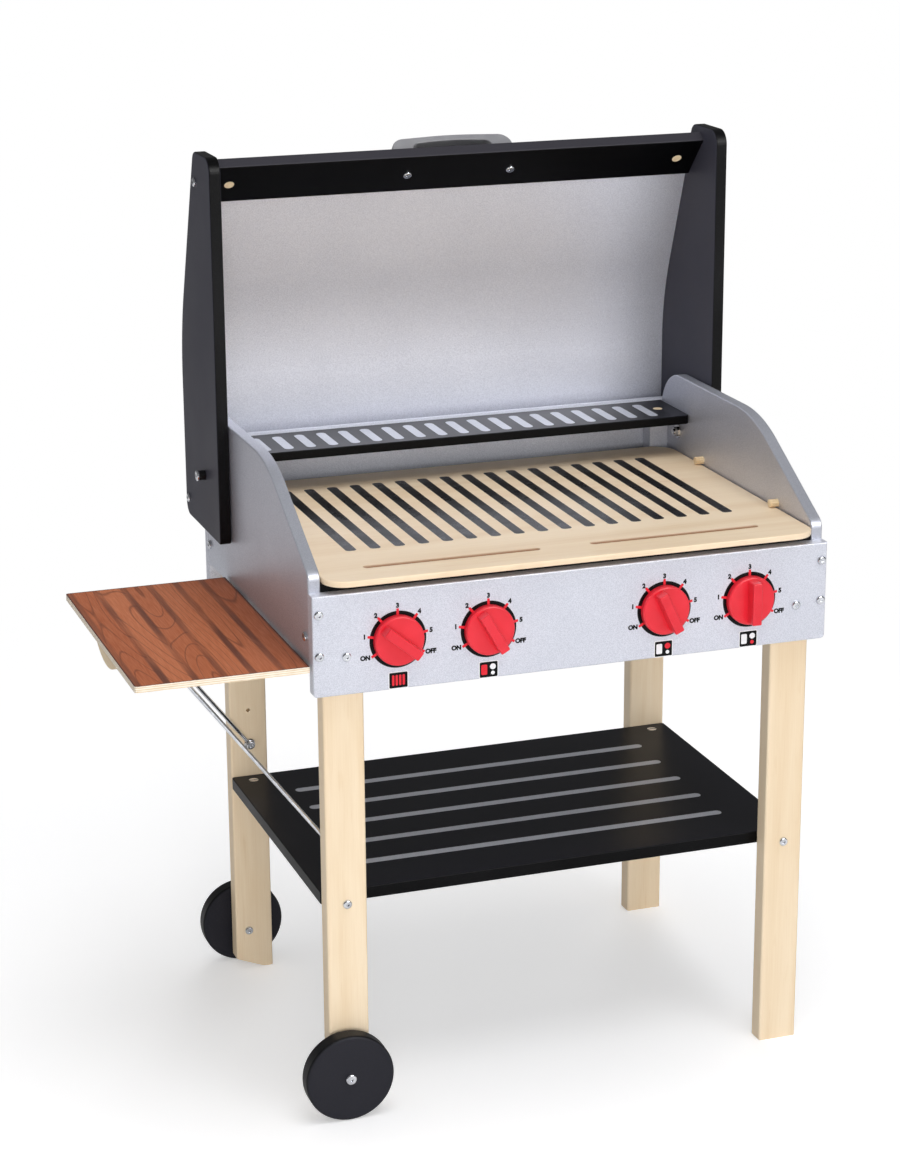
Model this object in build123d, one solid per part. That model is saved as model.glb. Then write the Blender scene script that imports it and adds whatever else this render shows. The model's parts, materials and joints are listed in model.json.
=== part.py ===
from build123d import *
import math
import os

# A wooden toy barbecue grill with a hinged lid, four dials, a drop-down side shelf and two wheels.
# Millimetres. X runs to the right, Y from the front to the back, Z up from the floor.
# Sizes below are set from the middle of the front panel's face, and place_at_origin moves
# the finished pieces so that the middle of the whole footprint is the origin.

# Boards and legs
board = 12.0
shelf_board = 9.0
ply = 6.0
edge_round = 1.5
stand_width = 520.0
stand_depth = 380.0
leg_height = 523.0
leg_width = 40.0
leg_depth = 20.0
leg_round = 2.5
panel_drop = 93.0
panel_height = 97.7
panel_corner = 4.0
side_panel_drop = 69.0
side_panel_height = 168.0
side_nose_height = 91.0
side_slope = 28.8
side_nose_round = 12.0
side_crest_round = 150.0
side_back_round = 46.0
back_panel_height = 158.0
lower_shelf_height = 222.0
lower_shelf_round = 3.0
shelf_edge_round = 1.0
warming_shelf_rise = 51.0
warming_shelf_depth = 77.0
warming_shelf_round = 6.0
warming_bolt_from_front = 40.0
corner_post_width = 21.0

# Removable grill plate and the pegs that hold it down
plate_overhang = 8.0
plate_side_gap = 1.5
plate_back_gap = 2.0
plate_front_corner = 22.0
plate_back_corner = 25.0
groove_radius = 4.5
groove_depth = 3.0
groove_length = 176.0
groove_spacing = 226.0
groove_from_front = 40.0
peg_radius = 4.0
peg_reach = 9.0
peg_socket = 8.0
peg_from_front = 88.0
peg_from_back = 112.0
peg_flutes = 10
flute_radius = 0.7

# Dials
knob_radius = 24.0
knob_thickness = 7.0
knob_face_round = 2.0
knob_rise = 48.5
knob_inner = 89.0
knob_outer = 178.0
grip_length = 42.0
grip_width = 9.5
grip_height = 13.0
grip_round = 1.2
grip_sink = 1.0
knob_shaft_radius = 5.0
knob_shaft_past_panel = 1.0
knob_screw_grip = 9.0
knob_pointer_angles = (140.0, 120.0, 115.0, 90.0)

# Lid, measured from its hinge
hinge_from_back = 48.0
hinge_below_top = 60.0
lid_gap = 1.0
lid_front_reach = 53.0
lid_depth = 136.0
lid_drop = 60.0
lid_height = 386.0
lid_crown_depth = 62.3
lid_shoulder_rise = 190.6
lid_shoulder_radius = 250.0
lid_corner_radii = (4.0, 15.0, 12.0, 14.0)
header_width = 54.7
header_tilt = 46.6
header_setback = 32.5
header_below_top = 14.0
header_plug_from_cheek = 21.5
skin_inset = 1.0
skin_thickness = 3.0
liner_thickness = 1.0
shell_rise = 4.0
rail_rise = 7.0
rail_height = 24.0

# Handle
handle_length = 132.0
handle_reach = 32.0
handle_width = 18.0
handle_bar = 7.0
handle_shift = 4.0
handle_foot = 22.0
handle_bow = 3.0
handle_lean = 3.0
handle_corner = 14.0
handle_crown_radius = 1000.0
handle_round = 1.5
handle_screw_spacing = 110.0
handle_screw_grip = 14.0

# Wheels
wheel_radius = 44.0
wheel_thickness = 18.0
wheel_round = 3.0
wheel_offset = 6.0
wheel_gap = 4.0
spacer_radius = 9.0
bevel_height = 12.0
bevel_width = 30.0

# Drop-down side shelf and its wire stay
side_shelf_width = 164.0
side_shelf_depth = 303.0
side_shelf_front = 4.0
side_shelf_gap = 2.0
side_shelf_corner = 3.0
grip_block_chord = 80.0
grip_block_depth = 11.0
grip_block_width = 8.0
grip_block_from_front = 118.0
hinge_leaf = 1.0
hinge_leaf_width = 12.0
hinge_length = 42.0
hinge_from_end = 45.0
knuckle_radius = 2.4
knuckle_pin = 1.2
stay_wire = 2.0
stay_pivot_rise = 36.0
stay_reach = 145.0
stay_bar_from_front = 42.0
stay_bar_from_back = 17.0
stay_bend = 8.0
stay_straight = 12.0
cleat_thickness = 4.0
cleat_width = 16.0
cleat_length = 220.0
saddle_radius = 12.0
saddle_depth = 1.5
pilot_hole_rise = 37.0
pilot_hole_depth = 8.0
stay_screw_grip = 12.0
stay_washer = 0.8
stay_washer_radius = 5.2

# Fasteners and fits
running_fit = 0.05
clearance = 0.3
tip_clearance = 1.0
bolt_radius = 3.0
screw_radius = 2.0
head_radius = 4.5
wide_head_radius = 5.5
head_height = 2.6
socket_radius = 1.9
socket_depth = 1.3
screw_length = 28.0
barrel_radius = 5.0
barrel_cover = 2.0
barrel_slot = 1.6
plug_hole_floor = 1.0
plug_depth = 2.0
plug_proud = 0.2
edge_screw_low_rise = 39.8
edge_screw_high_rise = 79.8
leg_screw_rise = 37.3
side_screw_front_rise = 30.0
side_screw_back_rise = 23.0
barrel_from_edge = 15.0
bushing_radius = 5.0
bushing_length = 6.5
washer_thickness = 1.2
washer_radius = 7.5
nut_radius = 5.2
nut_thickness = 4.5
bolt_past_nut = 1.5

# Places that follow from the sizes above
side_outer = stand_width / 2
side_inner = side_outer - board
panel_bottom = leg_height - panel_drop
panel_top = panel_bottom + panel_height
side_panel_bottom = leg_height - side_panel_drop
side_panel_top = side_panel_bottom + side_panel_height
side_nose = side_panel_bottom + side_nose_height
back_panel_top = panel_bottom + back_panel_height
back_panel_back = stand_depth + board
leg_outer = side_inner
leg_middle = leg_outer - leg_width / 2
front_leg_back = board + leg_depth
rear_leg_front = stand_depth - leg_depth
hob_bottom = leg_height
hob_top = hob_bottom + board
lower_shelf_top = lower_shelf_height
lower_shelf_bottom = lower_shelf_top - board
bolt_height = lower_shelf_top - board / 2
barrel_length = board - barrel_cover
screw_hole_depth = screw_length - board + tip_clearance
warming_shelf_top = hob_top + warming_shelf_rise
warming_shelf_bottom = warming_shelf_top - shelf_board
warming_shelf_front = stand_depth - warming_shelf_depth
warming_plug_hole = shelf_board - plug_hole_floor
header_plug_hole = board - plug_hole_floor
corner_post_inner = side_inner - corner_post_width
plate_bottom = hob_top + clearance
plate_top = plate_bottom + ply
plate_half = side_inner - plate_side_gap
plate_front = -plate_overhang
plate_back = rear_leg_front - plate_back_gap
knob_height = panel_bottom + knob_rise
hinge_y = stand_depth - hinge_from_back
hinge_z = side_panel_top - hinge_below_top
lid_front = hinge_y - lid_front_reach
lid_back = lid_front + lid_depth
lid_bottom = hinge_z - lid_drop
lid_top = lid_bottom + lid_height
lid_crown = lid_front + lid_crown_depth
lid_shoulder = lid_bottom + lid_shoulder_rise
cheek_inner = side_outer + lid_gap
cheek_outer = cheek_inner + board
header_front = lid_front + header_setback
header_top = lid_top - header_below_top
header_plug_x = cheek_inner - header_plug_from_cheek
shell_bottom = lid_bottom + shell_rise
shell_depth = skin_inset + skin_thickness + liner_thickness
rail_bottom = lid_bottom + rail_rise
rail_front = back_panel_back + clearance
rail_back = lid_back - shell_depth
axle_x = -(leg_middle + wheel_offset)
axle_z = wheel_radius
shelf_inner = -(side_outer + side_shelf_gap)
shelf_outer = shelf_inner - side_shelf_width
shelf_back = side_shelf_front + side_shelf_depth
shelf_underside = side_panel_bottom
shelf_top = shelf_underside + ply
fold_x = -(side_outer + side_shelf_gap / 2)
fold_z = shelf_underside - knuckle_radius - clearance
stay_pivot_x = leg_middle
stay_pivot_z = lower_shelf_top + stay_pivot_rise
stay_bar_x = -(stay_pivot_x + stay_reach)
stay_bar_z = shelf_underside - cleat_thickness + saddle_depth - clearance - stay_wire
stay_bar_front = side_shelf_front + stay_bar_from_front
stay_bar_back = shelf_back - stay_bar_from_back
stay_bar_middle = (stay_bar_front + stay_bar_back) / 2
grip_block_middle = side_shelf_front + grip_block_from_front
stay_arm_front = front_leg_back + clearance + stay_wire
stay_arm_back = rear_leg_front - clearance - stay_wire
eye_radius = screw_radius + running_fit + stay_wire


def block(x0, x1, y0, y1, z0, z1):
    """A straight-sided block between two corners."""
    return Pos((x0 + x1) / 2, (y0 + y1) / 2, (z0 + z1) / 2) * Box(x1 - x0, y1 - y0, z1 - z0)


def rod(start, direction, radius, length):
    """A round bar that starts at a point and runs along a direction."""
    plane = Plane(origin=start, z_dir=direction)
    return plane.location * Cylinder(radius, length, align=(Align.CENTER, Align.CENTER, Align.MIN))


def slab_x(points, radii, x0, x1):
    """A board with an outline in Y and Z, between two X values, with one radius per corner."""
    outline = make_face(FilletPolyline(*points, radius=radii, close=True))
    return extrude(Plane.YZ.offset(x0) * outline, x1 - x0)


def soften(solid, axis, radius):
    """Round the outline edges of the two faces at the ends of an axis."""
    ends = solid.faces().sort_by(axis)
    edges = ends[0].edges() + ends[-1].edges()
    return fillet(edges, radius)


def dome_bolt(start, outward, shank_radius, length, cap_radius=head_radius):
    """A dome-headed bolt with a six-sided socket; start lies under the head."""
    head = rod((0, 0, 0), (0, 0, 1), cap_radius, head_height)
    head = fillet(head.faces().sort_by(Axis.Z)[-1].edges(), head_height * 0.6)
    socket = extrude(RegularPolygon(socket_radius, 6), socket_depth)
    head -= Pos(0, 0, head_height - socket_depth) * socket
    shank = rod((0, 0, 0), (0, 0, -1), shank_radius, length)
    return Plane(origin=start, z_dir=outward).location * (head + shank)


def bore(solid, start, inward, radius, depth):
    """Cut a round hole from a point on a face into a solid."""
    return solid - rod(start, inward, radius, depth)


def group(solids):
    """Several like solids that share one node."""
    return Compound(children=list(solids))


def knob_places():
    """The X of each dial, from left to right."""
    return (-knob_outer, -knob_inner, knob_inner, knob_outer)


def panel_screw_places():
    """X and Z of the six screws in the front panel."""
    places = []
    for side in (-1, 1):
        edge = side * (side_outer - board / 2)
        places.append((edge, panel_bottom + edge_screw_low_rise))
        places.append((edge, panel_bottom + edge_screw_high_rise))
        places.append((side * leg_middle, panel_bottom + leg_screw_rise))
    return places


def make_front_panel():
    """The dial panel, screwed to the side panels' edges and to the front legs."""
    panel = block(-side_outer, side_outer, 0, board, panel_bottom, panel_top)
    corners = panel.edges().filter_by(Axis.Y).group_by(Axis.Z)[0]
    panel = fillet(corners, panel_corner)
    panel = fillet(panel.faces().sort_by(Axis.Y)[0].edges(), edge_round)
    for x in knob_places():
        panel = bore(panel, (x, 0, knob_height), (0, 1, 0), knob_shaft_radius + running_fit, board)
    for x, z in panel_screw_places():
        panel = bore(panel, (x, 0, z), (0, 1, 0), screw_radius, board)
    return panel


def side_screw_places():
    """Y and Z of the screws through each side panel into its legs."""
    front = (board + leg_depth / 2, side_panel_bottom + side_screw_front_rise)
    back = (stand_depth - leg_depth / 2, side_panel_bottom + side_screw_back_rise)
    return [front, back]


def shelf_bolt_place():
    """Y and Z of the bolt through each side panel into the warming shelf."""
    return (warming_shelf_front + warming_bolt_from_front, warming_shelf_top - shelf_board / 2)


def back_screw_heights():
    """Heights of the screws through the back panel into the side panels."""
    high = side_panel_bottom + 0.75 * (back_panel_top - side_panel_bottom)
    return (panel_bottom + edge_screw_low_rise, high)


def side_outline():
    """Corners and radii of a side panel, seen from the side."""
    slope_run = (side_panel_top - side_nose) / math.tan(math.radians(side_slope))
    points = [
        (board, side_panel_bottom),
        (board, side_nose),
        (board + slope_run, side_panel_top),
        (stand_depth, side_panel_top),
        (stand_depth, side_panel_bottom),
    ]
    return points, [0, side_nose_round, side_crest_round, side_back_round, 0]


def peg_places():
    """Y of the two pegs on each side and the height of their axis."""
    height = plate_top + clearance + peg_radius
    return [(peg_from_front, height), (stand_depth - peg_from_back, height)]


def make_side_panel(side):
    """A side panel with its sloped front, hinge bore, peg sockets and screw holes."""
    points, radii = side_outline()
    inner = side * side_inner
    outer = side * side_outer
    panel = slab_x(points, radii, min(inner, outer), max(inner, outer))
    panel = soften(panel, Axis.X, edge_round)
    panel = bore(panel, (inner, hinge_y, hinge_z), (side, 0, 0), bolt_radius, board)
    for y, z in peg_places():
        panel = bore(panel, (inner, y, z), (side, 0, 0), peg_radius, peg_socket)
    for y, z in side_screw_places():
        panel = bore(panel, (outer, y, z), (-side, 0, 0), screw_radius, board)
    panel = bore(panel, (outer, *shelf_bolt_place()), (-side, 0, 0), screw_radius, board)
    middle = side * (side_outer - board / 2)
    for rise in (edge_screw_low_rise, edge_screw_high_rise):
        panel = bore(panel, (middle, board, panel_bottom + rise), (0, 1, 0), screw_radius, screw_hole_depth)
    for z in back_screw_heights():
        panel = bore(panel, (middle, stand_depth, z), (0, -1, 0), screw_radius, screw_hole_depth)
    return panel


def make_back_panel():
    """The back panel, with a rounded top edge behind the warming shelf."""
    panel = block(-side_outer, side_outer, stand_depth, back_panel_back, panel_bottom, back_panel_top)
    top = panel.faces().sort_by(Axis.Z)[-1].edges().filter_by(Axis.X)
    panel = fillet(top, board * 0.42)
    for side in (-1, 1):
        for z in back_screw_heights():
            place = (side * (side_outer - board / 2), stand_depth, z)
            panel = bore(panel, place, (0, 1, 0), screw_radius, board)
        place = (side * leg_middle, stand_depth, panel_bottom + leg_screw_rise)
        panel = bore(panel, place, (0, 1, 0), screw_radius, board)
    return panel


def make_leg(side, front):
    """A leg; the two on the wheel side are cut away below so that the stand can tip."""
    y0 = board if front else rear_leg_front
    y1 = y0 + leg_depth
    leg = block(leg_middle - leg_width / 2, leg_outer, y0, y1, 0, leg_height)
    leg = fillet(leg.edges().filter_by(Axis.Z), leg_round)
    middle_y = (y0 + y1) / 2
    leg = bore(leg, (leg_middle, y0, bolt_height), (0, 1, 0), bolt_radius, leg_depth)
    inner_face = y0 if front else y1
    into = (0, 1, 0) if front else (0, -1, 0)
    place = (leg_middle, inner_face, panel_bottom + leg_screw_rise)
    leg = bore(leg, place, into, screw_radius, screw_hole_depth)
    for place_y, place_z in side_screw_places():
        if abs(place_y - middle_y) < leg_depth / 2:
            leg = bore(leg, (leg_outer, place_y, place_z), (-1, 0, 0), screw_radius, screw_hole_depth)
    if side > 0:
        return leg
    leg = mirror(leg, about=Plane.YZ)
    cut_points = [(-leg_outer, 0), (-leg_outer, bevel_height), (-leg_outer + bevel_width, 0)]
    cut = make_face(Polyline(*cut_points, close=True))
    leg -= extrude(Plane.XZ.offset(-y0) * cut, -leg_depth)
    leg = bore(leg, (axle_x, y0, axle_z), (0, 1, 0), bolt_radius, leg_depth)
    stay_face = y1 if front else y0
    inward = (0, -1, 0) if front else (0, 1, 0)
    pivot = (-stay_pivot_x, stay_face, stay_pivot_z)
    leg = bore(leg, pivot, inward, screw_radius, stay_screw_grip + tip_clearance)
    pilot = (-stay_pivot_x, stay_face, stay_pivot_z + pilot_hole_rise)
    return bore(leg, pilot, inward, screw_radius, pilot_hole_depth)


def barrel_places():
    """X and Y of the four barrel nuts in the lower shelf."""
    front = front_leg_back + barrel_from_edge
    back = rear_leg_front - barrel_from_edge
    return [(side * leg_middle, y) for side in (-1, 1) for y in (front, back)]


def make_lower_shelf():
    """The lower shelf, held between the legs by a bolt and a barrel nut at each corner."""
    low = lower_shelf_bottom
    shelf = block(-side_inner, side_inner, front_leg_back, rear_leg_front, low, lower_shelf_top)
    shelf = fillet(shelf.edges().filter_by(Axis.Z), lower_shelf_round)
    shelf = fillet(shelf.faces().sort_by(Axis.Z)[-1].edges(), shelf_edge_round)
    for x, y in barrel_places():
        shelf = bore(shelf, (x, y, lower_shelf_top), (0, 0, -1), barrel_radius + running_fit, barrel_length)
        into = 1 if y > stand_depth / 2 else -1
        edge = rear_leg_front if into > 0 else front_leg_back
        shelf = bore(shelf, (x, edge, bolt_height), (0, -into, 0), bolt_radius, barrel_from_edge)
    return shelf


def make_barrel_nuts():
    """Slotted cross dowels that stand upright in the lower shelf."""
    nuts = []
    half = barrel_slot / 2
    low = lower_shelf_top - barrel_slot
    for x, y in barrel_places():
        barrel = rod((x, y, lower_shelf_top), (0, 0, -1), barrel_radius, barrel_length)
        barrel -= block(x - barrel_radius, x + barrel_radius, y - half, y + half, low, lower_shelf_top)
        across = (x, y - barrel_radius, bolt_height)
        nuts.append(bore(barrel, across, (0, 1, 0), bolt_radius, 2 * barrel_radius))
    return group(nuts)


def make_leg_bolts():
    """Bolts through the four legs into the barrel nuts."""
    length = leg_depth + barrel_from_edge + barrel_radius / 2
    bolts = []
    for side in (-1, 1):
        for face, outward in ((board, -1), (stand_depth, 1)):
            place = (side * leg_middle, face, bolt_height)
            bolts.append(dome_bolt(place, (0, outward, 0), bolt_radius, length))
    return group(bolts)


def make_hob_board():
    """The black board under the grill plate, notched round the corner posts."""
    hob = block(-side_inner, side_inner, board, stand_depth, hob_bottom, hob_top)
    for side in (-1, 1):
        inner = side * (corner_post_inner - clearance)
        outer = side * side_outer
        low, high = min(inner, outer), max(inner, outer)
        hob -= block(low, high, rear_leg_front - clearance, back_panel_back, hob_bottom, hob_top)
    return hob


def make_corner_post(side):
    """A short square post that carries the warming shelf in a back corner."""
    inner = side * corner_post_inner
    outer = side * side_inner
    low, high = min(inner, outer), max(inner, outer)
    post = block(low, high, rear_leg_front, stand_depth, hob_bottom, warming_shelf_bottom)
    return fillet(post.edges().filter_by(Axis.Z), shelf_edge_round)


def warming_plug_places():
    """X and Y of the plugs in the warming shelf."""
    return [(side * leg_middle, shelf_bolt_place()[0]) for side in (-1, 1)]


def make_warming_shelf():
    """The narrow shelf above the back of the plate, with rounded front corners."""
    front = warming_shelf_front
    low = warming_shelf_bottom
    shelf = block(-side_inner, side_inner, front, stand_depth, low, warming_shelf_top)
    corners = shelf.edges().filter_by(Axis.Z).group_by(Axis.Y)[0]
    shelf = fillet(corners, warming_shelf_round)
    shelf = fillet(shelf.faces().sort_by(Axis.Z)[-1].edges().group_by(Axis.Y)[0], shelf_edge_round)
    for x, y in warming_plug_places():
        shelf = bore(shelf, (x, y, warming_shelf_top), (0, 0, -1), barrel_radius, warming_plug_hole)
        side = 1 if x > 0 else -1
        start = (side * side_inner, y, shelf_bolt_place()[1])
        shelf = bore(shelf, start, (-side, 0, 0), screw_radius, side_inner - leg_middle)
    return shelf


def make_warming_plugs():
    """Wooden plugs over the cross dowels in the warming shelf."""
    top = warming_shelf_top + plug_proud
    plugs = []
    for x, y in warming_plug_places():
        plugs.append(rod((x, y, top), (0, 0, -1), barrel_radius, plug_depth + plug_proud))
    return group(plugs)


def make_warming_nuts():
    """Cross dowels under the plugs of the warming shelf."""
    top = warming_shelf_top - plug_depth
    nuts = []
    for x, y in warming_plug_places():
        barrel = rod((x, y, top), (0, 0, -1), barrel_radius, warming_plug_hole - plug_depth)
        across = (x - barrel_radius, y, shelf_bolt_place()[1])
        nuts.append(bore(barrel, across, (1, 0, 0), screw_radius, 2 * barrel_radius))
    return group(nuts)


def make_warming_bolts():
    """Headless bolts that draw the side panels against the warming shelf."""
    length = side_outer - leg_middle + barrel_radius / 2
    bolts = []
    for side in (-1, 1):
        bolts.append(rod((side * side_outer, *shelf_bolt_place()), (-side, 0, 0), screw_radius, length))
    return group(bolts)


def make_plate_pegs():
    """Four fluted dowels in the side panels that keep the grill plate down."""
    pegs = []
    for side in (-1, 1):
        for y, z in peg_places():
            start = (side * (side_inner - peg_reach), y, z)
            peg = rod(start, (side, 0, 0), peg_radius, peg_reach + peg_socket)
            for step in range(peg_flutes):
                angle = 2 * math.pi * step / peg_flutes
                flute = (start[0], y + peg_radius * math.cos(angle), z + peg_radius * math.sin(angle))
                peg -= rod(flute, (side, 0, 0), flute_radius, peg_reach - clearance)
            pegs.append(peg)
    return group(pegs)


def make_panel_screws():
    """Six dome-headed screws in the front panel."""
    screws = []
    for x, z in panel_screw_places():
        screws.append(dome_bolt((x, 0, z), (0, -1, 0), screw_radius, screw_length))
    return group(screws)


def make_side_screws():
    """Screws through the side panels into the legs."""
    screws = []
    for side in (-1, 1):
        for y, z in side_screw_places():
            screws.append(dome_bolt((side * side_outer, y, z), (side, 0, 0), screw_radius, screw_length))
    return group(screws)


def make_back_screws():
    """Screws through the back panel into the side panels and the rear legs."""
    screws = []
    for side in (-1, 1):
        middle = side * (side_outer - board / 2)
        for z in back_screw_heights():
            screws.append(dome_bolt((middle, back_panel_back, z), (0, 1, 0), screw_radius, screw_length))
        place = (side * leg_middle, back_panel_back, panel_bottom + leg_screw_rise)
        screws.append(dome_bolt(place, (0, 1, 0), screw_radius, screw_length))
    return group(screws)


def make_grill_plate():
    """The loose grill plate, with two grooves routed along its front."""
    plate = block(-plate_half, plate_half, plate_front, plate_back, plate_bottom, plate_top)
    front_corners = plate.edges().filter_by(Axis.Z).sort_by(Axis.Y)[:2]
    plate = fillet(front_corners, plate_front_corner)
    back_corners = plate.edges().filter_by(Axis.Z).sort_by(Axis.Y)[-2:]
    plate = fillet(back_corners, plate_back_corner)
    plate = soften(plate, Axis.Z, edge_round)
    axis_z = plate_top - groove_depth + groove_radius
    y = plate_front + groove_from_front
    reach = groove_length / 2 - groove_radius
    for side in (-1, 1):
        middle = side * groove_spacing / 2
        plate -= rod((middle - reach, y, axis_z), (1, 0, 0), groove_radius, 2 * reach)
        for end in (-reach, reach):
            plate -= Pos(middle + end, y, axis_z) * Sphere(groove_radius)
    return plate


def make_knob(x, pointer):
    """A dial with a straight finger grip and a shaft through the front panel."""
    face = -clearance - knob_thickness
    disc = rod((0, -clearance, 0), (0, -1, 0), knob_radius, knob_thickness)
    disc = fillet(disc.faces().sort_by(Axis.Y)[0].edges(), knob_face_round)
    half = grip_length / 2
    root = face + grip_sink
    grip = block(-half, half, face - grip_height, root, -grip_width / 2, grip_width / 2)
    rims = grip.faces().sort_by(Axis.Y)[0].edges() + grip.edges().filter_by(Axis.Y)
    grip = fillet(rims, grip_round)
    end = board + knob_shaft_past_panel
    knob = disc + grip + rod((0, root, 0), (0, 1, 0), knob_shaft_radius, end - root)
    knob = bore(knob, (0, end, 0), (0, -1, 0), screw_radius, knob_screw_grip + tip_clearance)
    return Pos(x, 0, knob_height) * (Rot(0, -pointer, 0) * knob)


def make_knob_screw(x):
    """The screw and washer that keep a dial on the panel, on its hidden side."""
    seat = board + knob_shaft_past_panel
    washer = rod((x, seat, knob_height), (0, 1, 0), washer_radius, washer_thickness)
    head_seat = (x, seat + washer_thickness, knob_height)
    return washer + dome_bolt(head_seat, (0, 1, 0), screw_radius, washer_thickness + knob_screw_grip)


def make_wheel(front):
    """A solid wheel that turns on a bolt through the leg."""
    y0 = -(wheel_gap - board) - wheel_thickness if front else stand_depth + wheel_gap
    wheel = rod((axle_x, y0, axle_z), (0, 1, 0), wheel_radius, wheel_thickness)
    wheel = soften(wheel, Axis.Y, wheel_round)
    return bore(wheel, (axle_x, y0, axle_z), (0, 1, 0), bolt_radius + running_fit, wheel_thickness)


def make_wheel_spacers():
    """Collars between the legs and the wheels."""
    spacers = []
    for face, outward in ((board, -1), (stand_depth, 1)):
        collar = rod((axle_x, face, axle_z), (0, outward, 0), spacer_radius, wheel_gap - clearance)
        spacers.append(bore(collar, (axle_x, face, axle_z), (0, outward, 0), bolt_radius, wheel_gap))
    return group(spacers)


def make_axle_bolts():
    """The two bolts that the wheels turn on."""
    length = leg_depth + wheel_gap + wheel_thickness + clearance + nut_thickness
    front_head = board - wheel_gap - wheel_thickness - clearance
    front_seat = (axle_x, front_head, axle_z)
    front = dome_bolt(front_seat, (0, -1, 0), bolt_radius, length, wide_head_radius)
    rear = dome_bolt((axle_x, rear_leg_front, axle_z), (0, -1, 0), bolt_radius, length)
    return group([front, rear])


def nut(start, direction):
    """A six-sided nut with its seat at a point."""
    plane = Plane(origin=start, z_dir=direction)
    body = extrude(RegularPolygon(nut_radius, 6), nut_thickness)
    body -= Cylinder(bolt_radius, nut_thickness, align=(Align.CENTER, Align.CENTER, Align.MIN))
    return plane.location * body


def make_axle_nuts():
    """Nuts on the axle bolts."""
    front = nut((axle_x, front_leg_back, axle_z), (0, 1, 0))
    rear_seat = stand_depth + wheel_gap + wheel_thickness + clearance
    rear = nut((axle_x, rear_seat, axle_z), (0, 1, 0))
    return group([front, rear])


def header_axes():
    """Unit vectors in Y and Z: down the header's face, and out through its back."""
    tilt = math.radians(header_tilt)
    down = (math.cos(tilt), -math.sin(tilt))
    out = (math.sin(tilt), math.cos(tilt))
    return down, out


def header_point(along, through):
    """Y and Z of a point on the header: down its face from the top, and through its thickness."""
    down, out = header_axes()
    y = header_front + along * down[0] + through * out[0]
    z = header_top + along * down[1] + through * out[1]
    return (y, z)


def cheek_outline():
    """Corners and radii of a lid cheek: straight front, sloped upper back, rounded corners."""
    points = [
        (lid_front, lid_bottom),
        (lid_front, lid_top),
        (lid_crown, lid_top),
        (lid_back, lid_shoulder),
        (lid_back, lid_bottom),
    ]
    low_front, high_front, crown, low_back = lid_corner_radii
    return points, [low_front, high_front, crown, lid_shoulder_radius, low_back]


def cheek_bolt_places():
    """Y and Z of the two bolts in each cheek: one into the header and one into the rail."""
    rail_middle = ((rail_front + rail_back) / 2, rail_bottom + rail_height / 2)
    return [header_point(header_width / 2, board / 2), rail_middle]


def make_cheek(side):
    """A side of the lid."""
    points, radii = cheek_outline()
    inner = side * cheek_inner
    outer = side * cheek_outer
    cheek = slab_x(points, radii, min(inner, outer), max(inner, outer))
    cheek = soften(cheek, Axis.X, edge_round)
    cheek = bore(cheek, (inner, hinge_y, hinge_z), (side, 0, 0), bolt_radius + running_fit, board)
    for y, z in cheek_bolt_places():
        cheek = bore(cheek, (outer, y, z), (-side, 0, 0), screw_radius, board)
    return cheek


def make_header():
    """The sloped board across the lid's front edge, which carries the handle."""
    corners = [header_point(0, 0), header_point(header_width, 0)]
    corners += [header_point(header_width, board), header_point(0, board)]
    header = slab_x(corners, [edge_round] * 4, -cheek_inner, cheek_inner)
    down, out = header_axes()
    middle = header_point(header_width / 2, 0)
    for side in (-1, 1):
        screw_x = side * handle_screw_spacing / 2
        header = bore(header, (screw_x, *middle), (0, *out), screw_radius, board)
        header = bore(header, (side * header_plug_x, *middle), (0, *out), barrel_radius, header_plug_hole)
        start = (side * cheek_inner, *header_point(header_width / 2, board / 2))
        header = bore(header, start, (-side, 0, 0), screw_radius, header_plug_from_cheek)
    return header


def make_header_plugs():
    """Wooden plugs over the cross dowels in the header's inner face."""
    down, out = header_axes()
    proud = header_point(header_width / 2, -plug_proud)
    plugs = []
    for side in (-1, 1):
        plugs.append(rod((side * header_plug_x, *proud), (0, *out), barrel_radius, plug_depth + plug_proud))
    return group(plugs)


def make_header_nuts():
    """Cross dowels under the header's plugs."""
    down, out = header_axes()
    start = header_point(header_width / 2, plug_depth)
    axis = header_point(header_width / 2, board / 2)
    nuts = []
    for side in (-1, 1):
        x = side * header_plug_x
        barrel = rod((x, *start), (0, *out), barrel_radius, header_plug_hole - plug_depth)
        across = (x - barrel_radius, *axis)
        nuts.append(bore(barrel, across, (1, 0, 0), screw_radius, 2 * barrel_radius))
    return group(nuts)


def shell_section(inset_outer, inset_inner):
    """The section of one layer of the lid's curved shell, as a face in Y and Z."""
    rise = lid_top - lid_shoulder
    run = lid_back - lid_crown
    length = math.hypot(rise, run)
    slope = (run / length, -rise / length)
    inward = (slope[1], -slope[0])
    loops = []
    for inset in (inset_outer, inset_inner):
        top = (lid_crown + inset * inward[0], lid_top + inset * inward[1])
        drop = (lid_back - inset - top[0]) / slope[0]
        shoulder = (lid_back - inset, top[1] + drop * slope[1])
        loops.append([top, shoulder, (lid_back - inset, shell_bottom)])
    outer, inner = loops
    radii = [0, lid_shoulder_radius - inset_outer, 0, 0, lid_shoulder_radius - inset_inner, 0]
    return FilletPolyline(*outer, *reversed(inner), radius=radii, close=True)


def make_shell_layer(inset_outer, inset_inner):
    """One layer of the curved shell between the cheeks, cut off square under the header."""
    section = make_face(shell_section(inset_outer, inset_inner))
    layer = extrude(Plane.YZ.offset(-cheek_inner) * section, 2 * cheek_inner)
    down, out = header_axes()
    reach = 4 * header_width
    above = (0, -down[0], -down[1])
    keep_out = Plane(origin=(0, *header_point(header_width, 0)), x_dir=(1, 0, 0), z_dir=above)
    cutter = Box(3 * cheek_inner, reach, reach, align=(Align.CENTER, Align.CENTER, Align.MIN))
    return layer - keep_out.location * cutter


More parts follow.
